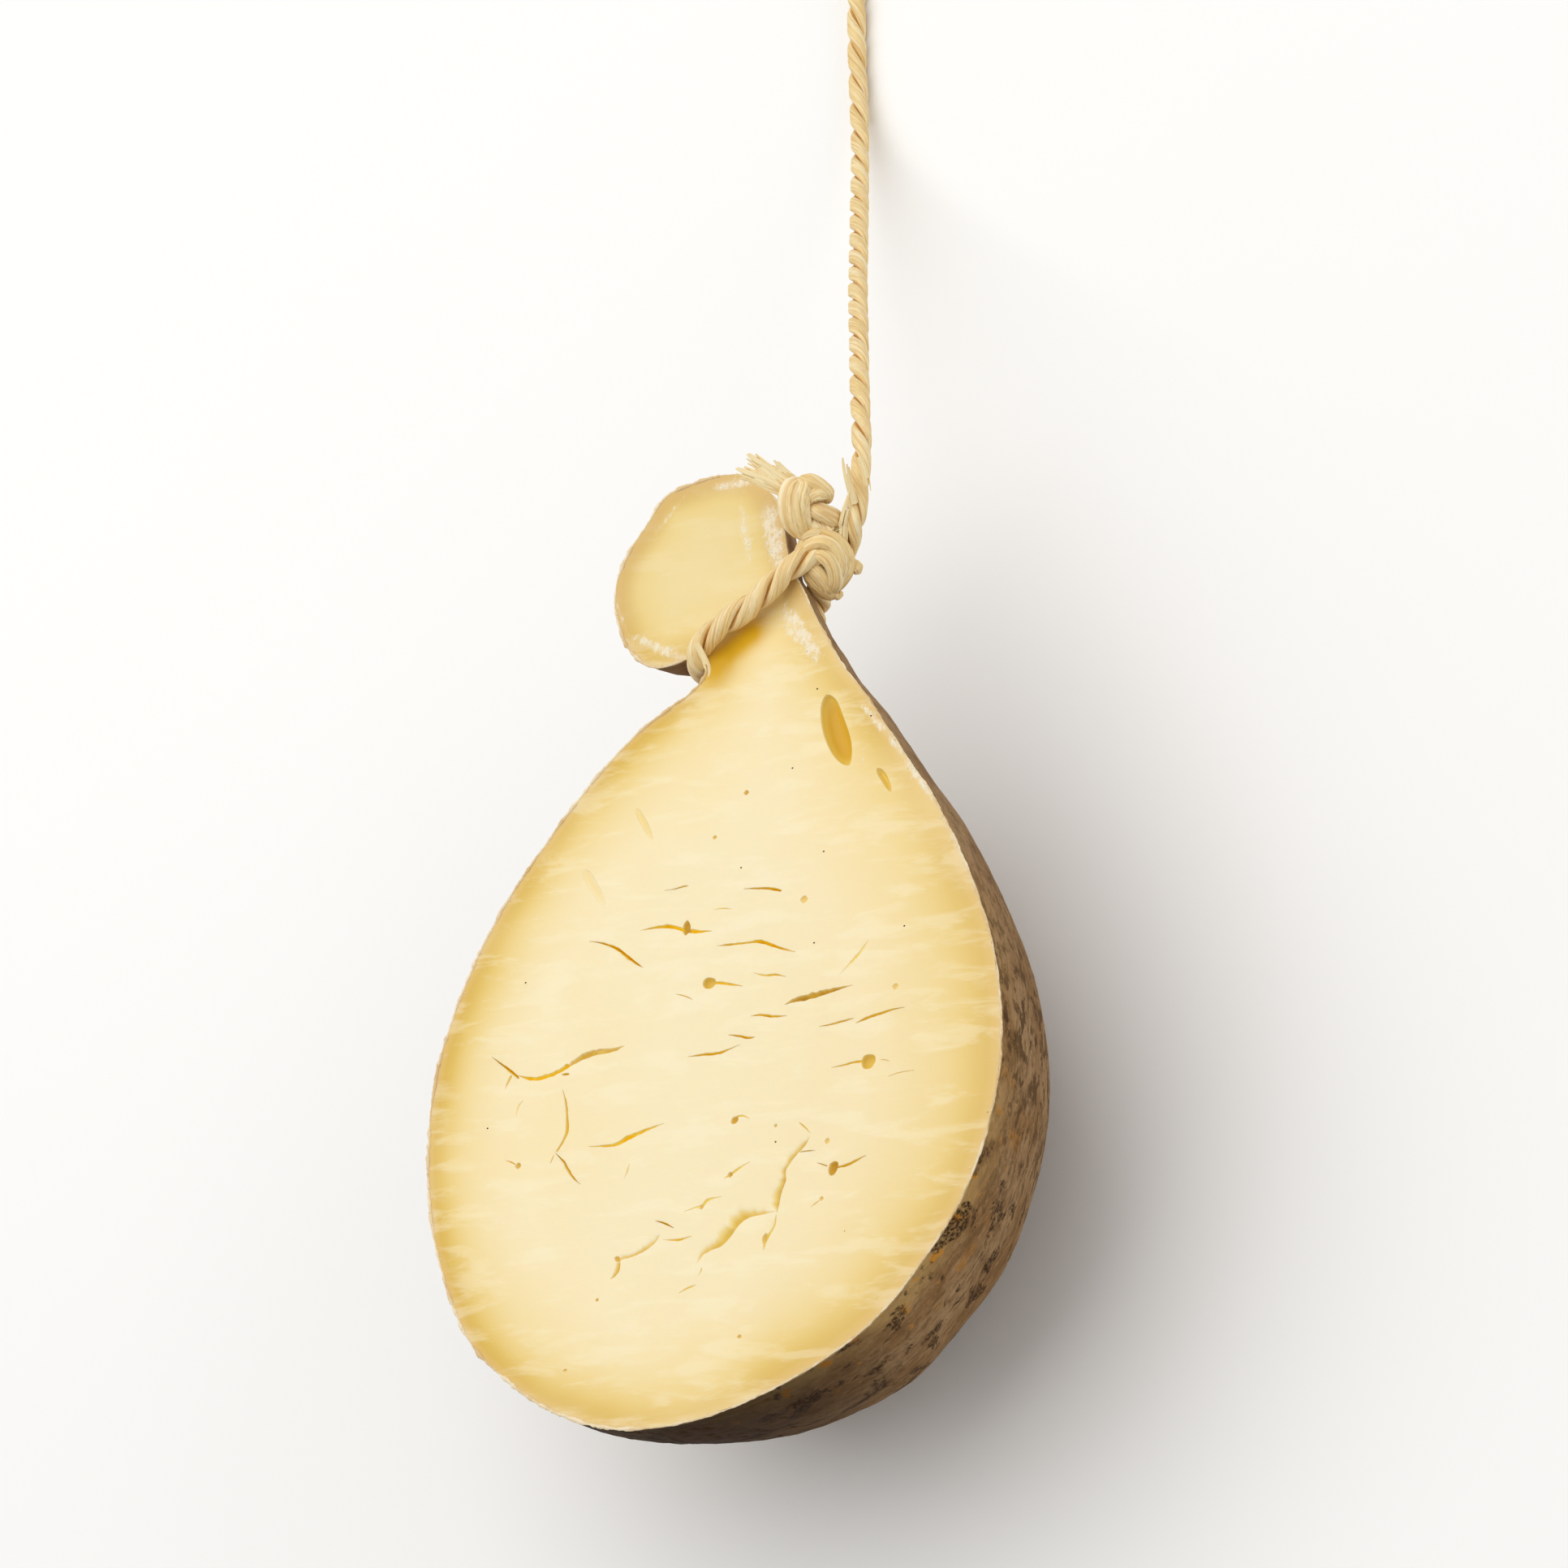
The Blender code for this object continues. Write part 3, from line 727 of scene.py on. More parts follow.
def twisted(name, path, first_outward, thickness, seed, closed=False, step=0.55, swell=0.08):
    """Two-ply twine along a path, in metres. It is nowhere quite as thick as elsewhere."""
    radius, widths, depths = thickness / 2 * MM, [], []
    for spot in path:
        uneven = 1.0 + swell * noise.noise(spot / MM * 0.11 + Vector((seed, 0, 0)))
        widths.append(radius * PLY_WIDTH * uneven)
        depths.append(radius * PLY_DEPTH * uneven)
    guide = guide_mesh(name, [(path, carried(path, first_outward), widths, depths, closed)])
    return grow(name, guide, BUNDLES, {
        "Plies": 2, "Lead": TWIST_LEAD * MM, "Ply Offset": radius * PLY_OFFSET,
        "Fibre Turn": FIBRE_TURN, "Creases": 0.04, "Step": step * MM, "Seed": float(seed),
        "Material": STRAW})


def make_hanging_twine():
    route = [knot_point(*p) for p in IN_THE_KNOT] + [Vector(p) * MM for p in CORD_POINTS]
    path = smooth_path(route, 1.5 * MM)
    piece = twisted("hanging_twine", path, FRONT, TWINE, seed=3)
    length = sum((b - a).length for a, b in zip(path, path[1:]))
    print("hanging twine:", round(length * 1000), "mm of twine")
    return piece, path, length


hanging_twine, hanging_path, hanging_length = make_hanging_twine()
wear(hanging_twine, "twine", "hanging_cord")

# %% [markdown]
# ## The eye at its end
#
# Such a cheese ripens hung from a beam. Here the twine ends in the eye that it would hang by: it
# is doubled back on itself and closed by a knot. The ring is the same two-ply twine, and the
# knot is three turns of it wound close together.

# %% Eye and its knot
EYE_KNOT = Vector((-45.6, 317.2, 4.6))
EYE_KNOT_SIZES = (5.0, 5.6, 4.2)
EYE_RADII = (8.0, 15.0)
EYE_POINTS = 60
WOUND_TURNS = 3
WOUND_POINTS = 100


def make_hanging_eye():
    onward = (Vector(CORD_POINTS[14]) - Vector(CORD_POINTS[13])).normalized()
    side = Vector((onward.y, -onward.x, 0.0))
    middle = EYE_KNOT + onward * EYE_RADII[1]
    middle.z = TWINE / 2 + CLEARANCE
    ring = []
    for k in range(EYE_POINTS):
        turn = 2 * math.pi * k / EYE_POINTS
        ring.append((middle + side * EYE_RADII[0] * math.cos(turn)
                     + onward * EYE_RADII[1] * math.sin(turn)) * MM)
    eye = twisted("eye_ring", ring, UP, TWINE * 0.92, seed=5, closed=True)
    turns = []
    for k in range(WOUND_POINTS):
        share = k / (WOUND_POINTS - 1)
        turn = 2 * math.pi * WOUND_TURNS * share
        bulge = 0.62 + 0.3 * math.sin(math.pi * share)
        turns.append((EYE_KNOT + side * math.cos(turn) * EYE_KNOT_SIZES[0] * bulge
                      + UP * math.sin(turn) * EYE_KNOT_SIZES[2] * bulge * 0.8
                      + onward * (share - 0.5) * EYE_KNOT_SIZES[1] * 1.3) * MM)
    wound = twisted("eye_knot", turns, side, 3.0, seed=6)
    return join("hanging_eye_twine", [eye, wound])


hanging_eye_twine = make_hanging_eye()
wear(hanging_eye_twine, "twine", "hanging_eye")

# %% [markdown]
# ## The loop round the neck
#
# The loop is the same twine, a little looser. Its points are measured in the plane across the
# neck, which leans with the head: across the neck, towards the head, and above the cut face.

# %% Neck loop
NECK = Vector((-2.5, 104.0))
NECK_EDGES = (-12.6, 97.0, 8.5, 113.0)
HEAD_LEAN = math.radians(40.0)
CUT_HEIGHT = 71.5
LOOP_TWINE = 5.3
LOOP_POINTS = (
    (21.0, 1.6, -1.6), (18.6, 2.2, 0.9), (14.6, 1.9, 2.7), (9.5, 1.8, 3.1), (4.0, 1.7, 3.1),
    (0.2, 2.2, 3.1), (-4.5, 3.2, 3.1), (-9.0, 3.6, 3.1), (-12.8, 3.4, 2.2), (-15.3, 3.2, -0.6),
    (-16.2, 3.0, -4.6), (-15.2, 2.5, -9.4), (-12.2, 2.3, -14.0), (-7.4, 2.8, -17.6),
    (0.0, 3.4, -19.4), (7.4, 4.1, -17.8), (12.6, 4.3, -13.0), (15.4, 4.0, -8.4),
    (18.2, 3.2, -4.8), (20.4, 2.4, -3.2),
)


def loop_point(across, towards_head, above):
    middle = (Vector(NECK_EDGES[:2]) + Vector(NECK_EDGES[2:])) / 2
    spot = middle + Matrix.Rotation(HEAD_LEAN, 2) @ Vector((across, towards_head))
    return Vector((*spot, CUT_HEIGHT + above)) * MM


def make_neck_loop():
    path = smooth_path([loop_point(*p) for p in LOOP_POINTS], 1.0 * MM)
    return twisted("neck_loop", path, UP, LOOP_TWINE, seed=12, swell=0.14)


neck_loop = make_neck_loop()

# %% [markdown]
# ## The knots and the open tail
#
# In the knots the twine opens into broad flat strands. Each strand is a line given in the
# viewer's directions, from the middle of the lower knot: to the right, up and towards the
# viewer. It has a width and a thickness, and thins at both ends, which are tucked in. The same
# tree creases it. Thicker strands inside each knot stand for what is packed in the middle.

# %% Knots
# Width, thickness, and points.
LOWER_STRANDS = (
    (2.9, 2.2, ((-7.0, 1.6, -1.2), (-4.9, 4.5, 1.0), (-2.4, 5.4, 1.9), (0.5, 4.9, 2.2),
                (2.8, 3.0, 2.2), (4.1, 0.4, 1.9), (3.9, -2.4, 1.4), (2.5, -5.0, 0.6),
                (0.7, -7.0, -0.6))),
    (2.9, 2.2, ((-6.4, 0.9, 0.2), (-4.2, 3.0, 2.0), (-1.9, 3.8, 2.9), (0.4, 3.2, 3.1),
                (2.0, 1.4, 3.0), (2.7, -0.9, 2.6), (2.4, -3.3, 1.9), (1.4, -5.6, 0.8),
                (0.2, -6.8, -0.4))),
    (2.8, 2.1, ((-3.9, 1.0, 2.6), (-1.6, 0.9, 3.5), (0.2, -0.6, 3.7), (1.2, -2.8, 3.1),
                (1.4, -5.2, 1.9), (0.8, -7.0, 0.0))),
    (3.2, 2.4, ((-4.4, -1.4, 1.0), (-2.2, -3.2, 1.8), (-0.6, -5.4, 1.2), (0.4, -7.6, -0.6))),
    (3.4, 2.8, ((-5.2, -1.8, -0.6), (-3.2, -4.4, 0.0), (-0.4, -6.8, -0.4), (2.0, -7.4, -1.2))),
    (3.4, 2.8, ((2.0, -1.2, -0.4), (4.4, -0.8, 0.0), (5.9, -1.6, 0.0), (6.2, -2.9, -0.2))),
    (2.4, 2.0, ((1.0, -6.2, -0.4), (2.0, -7.6, -0.4), (3.0, -7.2, -0.8))),
)
UPPER_STRANDS = (
    (4.6, 2.4, ((-5.6, 17.2, -0.4), (-7.4, 16.4, 1.2), (-8.3, 13.8, 2.2), (-8.1, 10.8, 2.5),
                (-7.2, 7.8, 2.1), (-5.4, 4.8, 0.6))),
    (2.6, 2.2, ((-6.8, 16.6, -0.6), (-9.2, 14.8, 0.4), (-9.6, 11.6, 0.9), (-8.8, 8.2, 0.9),
                (-6.8, 5.2, 0.2))),
    (2.8, 2.0, ((-6.4, 17.3, 1.0), (-5.2, 16.2, 2.4), (-5.6, 13.6, 3.1), (-5.6, 10.8, 2.8),
                (-5.2, 8.0, 1.8), (-5.0, 5.6, 0.4))),
    (3.2, 2.2, ((-6.2, 17.5, 0.6), (-3.8, 16.8, 2.2), (-1.4, 15.3, 2.5), (0.2, 13.8, 1.8),
                (0.3, 12.4, 0.2))),
    (3.0, 2.0, ((-4.9, 11.4, 1.4), (-3.9, 13.3, 2.9), (-2.1, 14.1, 3.3), (-0.3, 13.6, 2.6))),
    (3.6, 2.4, ((-5.0, 11.8, 1.0), (-2.9, 10.6, 2.5), (-0.8, 9.8, 2.4), (1.4, 8.8, 1.4),
                (2.8, 7.6, 0.0))),
    (4.6, 3.0, ((-4.4, 10.4, 0.0), (-3.6, 7.6, 1.2), (-2.4, 5.0, 0.8), (-1.4, 3.0, 0.2))),
    (4.4, 3.0, ((-2.0, 10.0, 0.0), (-0.9, 7.2, 1.0), (0.6, 4.8, 0.6), (1.8, 2.8, 0.0))),
    (3.0, 2.4, ((0.2, 9.4, -0.4), (1.8, 6.8, 0.2), (2.6, 4.4, 0.0))),
)
PACKED_STRANDS = (
    (8.2, 5.2, ((0.6, -5.4, -1.2), (0.2, -1.4, -0.6), (-0.6, 2.2, -0.6), (-0.8, 5.0, -1.2))),
    (7.0, 4.6, ((-3.2, 6.0, -1.4), (-4.0, 10.4, -0.6), (-4.4, 13.6, -0.6), (-5.0, 16.2, -1.4))),
)
KNOT_MIDDLES = ((0.2, -1.0, -1.6), (-4.4, 11.6, -1.6))
# How much broader the strands are than the points were laid out for, so that no gap shows.
STRAND_SPREAD = 1.18
# A strand thins over this share of its length at either end.
TUCKED_SHARE = 0.22
# A lead so long, in metres, that the strand isn't twisted.
NO_TWIST = 1000.0
STRAW_DEPTH = 0.36


def strand_run(width, depth, points, end_size=(0.45, 0.45)):
    """A strand as a run for the trees, its flat side turned away from the nearer knot's middle."""
    path = smooth_path([knot_point(*p) for p in points], 1.0 * MM)
    middles = [knot_point(*m) for m in KNOT_MIDDLES]
    faces, widths, depths = [], [], []
    for k, spot in enumerate(path):
        middle = min(middles, key=lambda m: (m - spot).length)
        faces.append(((spot - middle).normalized() * 0.7 + FRONT * 0.5).normalized())
        share = k / (len(path) - 1)
        tuck = [size + (1.0 - size) * min(1.0, near / TUCKED_SHARE) ** 0.6
                for size, near in zip(end_size, (share, 1.0 - share))]
        widths.append(width / 2 * min(tuck) * MM)
        depths.append(depth / 2 * min(tuck) * MM)
    return path, faces, widths, depths, False


def bundles(name, strands, seed, creases=0.15, end_size=(0.45, 0.45)):
    pieces = []
    for number, (width, depth, points) in enumerate(strands):
        run = strand_run(width * STRAND_SPREAD, depth, points, end_size)
        pieces.append(grow(name, guide_mesh(name, [run]), BUNDLES, {
            "Plies": 1, "Lead": NO_TWIST, "Ply Offset": 0.0, "Fibre Turn": 60.0,
            "Creases": creases, "Step": 0.4 * MM, "Seed": seed + number * 3.7, "Material": STRAW}))
    return join(name, pieces)


def loose_straws(name, strands, seed, straws, width, fray, flare):
    runs = [strand_run(size, depth, points, (1.0, 1.0)) for size, depth, points in strands]
    return grow(name, guide_mesh(name, runs), STRAWS, {
        "Plies": 1, "Straws": straws, "Lead": NO_TWIST, "Straw Width": width * MM,
        "Straw Depth": STRAW_DEPTH * MM, "Step": 0.5 * MM, "Fray": fray, "Flare": flare,
        "Seed": seed, "Material": STRAW})


TAIL_BUNDLES = (
    (3.2, 1.9, ((-5.4, 13.2, -0.6), (-8.6, 14.4, -0.8), (-12.0, 15.9, -1.2), (-15.6, 17.6, -1.8))),
    (3.2, 1.9, ((-5.8, 14.6, -0.8), (-8.8, 16.2, -1.0), (-11.6, 18.0, -1.6), (-13.8, 19.6, -2.0))),
    (2.4, 1.6, ((-6.2, 16.0, -1.2), (-8.0, 17.6, -1.6), (-9.8, 19.0, -2.0), (-11.0, 20.2, -2.2))),
)
TAIL_STRAWS = (
    (4.2, 1.5, ((-9.0, 14.6, -0.8), (-12.4, 16.2, -1.2), (-16.2, 18.0, -1.8), (-19.8, 19.2, -2.4))),
    (4.2, 1.5, ((-8.8, 16.2, -1.0), (-12.0, 18.4, -1.6), (-14.8, 20.6, -2.2), (-17.4, 22.4, -2.6))),
    (3.2, 1.3, ((-8.0, 17.4, -1.6), (-10.0, 19.2, -2.0), (-11.8, 20.8, -2.2))),
)
# Straws that have come loose from the hanging twine, the neck loop and the knots.
WISPS = (
    (1.6, 0.6, ((5.6, 12.0, 1.6), (4.4, 16.2, 2.0), (3.6, 20.0, 2.2), (3.3, 22.4, 2.4))),
    (1.4, 0.6, ((6.6, 22.0, 1.8), (7.6, 19.0, 2.2), (8.2, 16.2, 2.2), (8.3, 14.2, 2.2))),
    (2.6, 0.8, ((3.0, 4.0, 1.0), (3.4, 8.0, 1.8), (4.4, 11.8, 1.8), (5.4, 15.0, 1.6))),
    (1.6, 0.6, ((-28.4, -18.0, 1.2), (-26.9, -20.8, 1.4), (-26.0, -23.4, 1.2),
                (-26.4, -25.2, 1.0))),
)


def make_tail_and_wisps():
    body = bundles("tail_bundles", TAIL_BUNDLES, 41.0, end_size=(0.8, 0.35))
    ends = loose_straws("tail_straws", TAIL_STRAWS, 31, 34, 0.9, 0.45, 0.4)
    wisps = loose_straws("wisps", WISPS, 37, 6, 0.8, 0.45, 0.4)
    return [body, ends, wisps]


lower_knot = bundles("lower_knot", LOWER_STRANDS, 51.0)
upper_knot = bundles("upper_knot", UPPER_STRANDS, 87.0)
packed = bundles("packed", PACKED_STRANDS, 7.0)
tied = [neck_loop, lower_knot, upper_knot, packed, *make_tail_and_wisps()]
neck_tie = join("neck_tie_twine", tied)
wear(neck_tie, "twine", "neck_tie")

# %% [markdown]
# ## The form of the cheese
#
# The cut face is an outline with a left and a right edge. Matched points on the two edges are
# joined by chords, and behind each chord the rind is half an oval. Sweeping these half ovals
# from the bottom to the head makes the whole half, body, neck and head, in one skin.
#
# The solid has the same rings, only fewer. Here they are close enough for real dents and cracks.
# Each point also learns how far it is along the cheese and how far round from the cut edge, so
# that the rind's streaks can follow the form.

# %% Outline and rings
RING_GAP = 1.15
BACK_SIDES = 150
FACE_SIDES = 110
BOTTOM = (-3.5, -74.5, 1.15)
BODY_EDGES = (
    (-16.0, -73.5, 9.0, -73.0, 1.15),
    (-29.5, -69.0, 23.5, -68.5, 1.14),
    (-40.5, -62.5, 36.5, -62.5, 1.14),
    (-50.5, -54.5, 48.0, -54.5, 1.11),
    (-57.5, -45.0, 56.0, -45.5, 1.07),
    (-65.5, -27.5, 66.5, -28.0, 1.04),
    (-69.5, -9.5, 71.0, -9.5, 1.03),
    (-70.0, 8.0, 71.0, 7.0, 1.035),
    (-66.5, 25.5, 66.5, 25.5, 1.06),
    (-59.5, 43.0, 58.5, 43.0, 1.12),
    (-49.0, 59.5, 48.0, 60.0, 1.20),
    (-38.5, 73.0, 37.0, 74.0, 1.29),
    (-29.0, 82.5, 28.5, 85.0, 1.40),
    (-20.5, 88.0, 21.5, 93.0, 1.53),
    (-16.0, 90.8, 17.0, 99.5, 1.52),
    (-13.5, 93.8, 12.0, 107.0, 1.36),
    (*NECK_EDGES, 1.20),
)
HEAD_EDGES = (
    (4.5, -13.5, 14.5, 1.12),
    (10.0, -22.0, 16.5, 1.03),
    (14.5, -24.3, 18.5, 1.0),
    (20.5, -25.0, 20.5, 1.0),
    (25.5, -24.0, 20.5, 1.0),
    (31.5, -21.8, 19.0, 1.0),
    (36.0, -18.2, 15.5, 1.0),
    (39.4, -12.8, 11.0, 1.0),
    (41.7, -5.6, 6.8, 1.0),
)
HEAD_TIP = (43.8, 1.2, 1.0)


def head_point(along, across, depth):
    spot = NECK + Matrix.Rotation(HEAD_LEAN, 2) @ Vector((across, along))
    return Vector((spot.x, spot.y, depth))


def face_edges():
    """The left and right edges of the cut face. The third number is the depth of the rind there."""
    left, right = [Vector(BOTTOM)], [Vector(BOTTOM)]
    for left_x, left_y, right_x, right_y, depth in BODY_EDGES:
        left.append(Vector((left_x, left_y, depth)))
        right.append(Vector((right_x, right_y, depth)))
    for along, left_across, right_across, depth in HEAD_EDGES:
        left.append(head_point(along, left_across, depth))
        right.append(head_point(along, right_across, depth))
    tip = head_point(*HEAD_TIP)
    return left + [tip], right + [tip]


def rind_chords():
    """Pairs of facing edge points, without the two ends."""
    left, right = face_edges()
    outline = right + left[-2:0:-1]
    count = len(outline)
    chords = []
    for i in range(len(right) - 1):
        span = max((left[i + 1] - left[i]).length, (right[i + 1] - right[i]).length)
        parts = max(2, math.ceil(span / RING_GAP))
        for k in range(parts):
            here = between(outline, i, k / parts, closed=True)
            facing = between(outline, count - i - 1, 1 - k / parts, closed=True)
            chords.append((facing, here))
    return chords[1:]


def whole_ring(left, right):
    """Round the back of the rind from right to left, then across the face from left to right."""
    middle = (left.xy + right.xy) / 2
    half = (right.xy - left.xy) / 2
    depth = half.length * (left.z + right.z) / 2
    ring, around = [], []
    for k in range(BACK_SIDES):
        turn = math.pi * k / BACK_SIDES
        ring.append((*(middle + half * math.cos(turn)), CUT_HEIGHT - depth * math.sin(turn)))
        around.append((turn if turn < math.pi / 2 else turn - math.pi) * half.length)
    for k in range(FACE_SIDES):
        ring.append((*(middle + half * (2 * k / FACE_SIDES - 1)), CUT_HEIGHT))
        around.append(0.0)
    return ring, around


def closed_skin(name, rings, first, last, materials, backs=0):
    """A skin over rings of points, brought to a point at both ends. The faces of the first sides
    of each ring, as many as backs says, take the second material."""
    bm = bmesh.new()
    rings = [[bm.verts.new(p) for p in ring] for ring in rings]
    tips = [bm.verts.new(first), bm.verts.new(last)]
    sides = [(k, (k + 1) % len(rings[0])) for k in range(len(rings[0]))]
    for lower, upper in zip(rings, rings[1:]):
        for k, after in sides:
            made = bm.faces.new((lower[k], lower[after], upper[after], upper[k]))
            made.material_index = int(k < backs)
    for k, after in sides:
        below = bm.faces.new((tips[0], rings[0][after], rings[0][k]))
        above = bm.faces.new((tips[1], rings[-1][k], rings[-1][after]))
        below.material_index = above.material_index = int(k < backs)
    bmesh.ops.recalc_face_normals(bm, faces=bm.faces)
    mesh = mesh_from(bm, name)
    for material in materials:
        mesh.materials.append(material)
    return mesh


def make_cheese_mesh(paste, rind):
    """The whole skin, the outline of its face, and how far round and along each point is."""
    chords = rind_chords()
    rings, flow, along = [], [], 0.0
    for k, (left, right) in enumerate(chords):
        ring, around = whole_ring(left, right)
        rings.append(ring)
        along += (right - chords[max(k - 1, 0)][1]).length
        flow += [(a, along) for a in around]
    ends = [(*end, CUT_HEIGHT) for end in (BOTTOM[:2], head_point(*HEAD_TIP).xy)]
    flow += [(0.0, 0.0), (0.0, along)]
    mesh = closed_skin("cheese", rings, *ends, (paste, rind), BACK_SIDES)
    outline = [Vector(BOTTOM).xy] + [right.xy for left, right in chords]
    outline += [head_point(*HEAD_TIP).xy] + [left.xy for left, right in chords[::-1]]
    return mesh, np.array(outline), np.array(flow)


# %% [markdown]
# ## Cracks and eyes
#
# Stretched curd is laid down in layers, and as the cheese dries the layers part in thin cracks.
# Gas leaves eyes. Both are real hollows, cut by a Boolean, because a painted crack has no
# shadow. A cutter is a groove swept along the crack's points. Where the knife dragged the paste,
# one wall is a long gentle slope and the other is steep, so each point has a half width to its
# left and one to its right, seen by someone who walks along the crack. Its edges are roughened.

# %% Cracks
# How far a cutter stands above the face, and how far apart its sections are.
CUTTER_RISE = 0.6
CRACK_STEP = 0.45
# A crack that is wider than this somewhere gets the same finish inside as the eyes.
WIDE_CRACK = 1.2
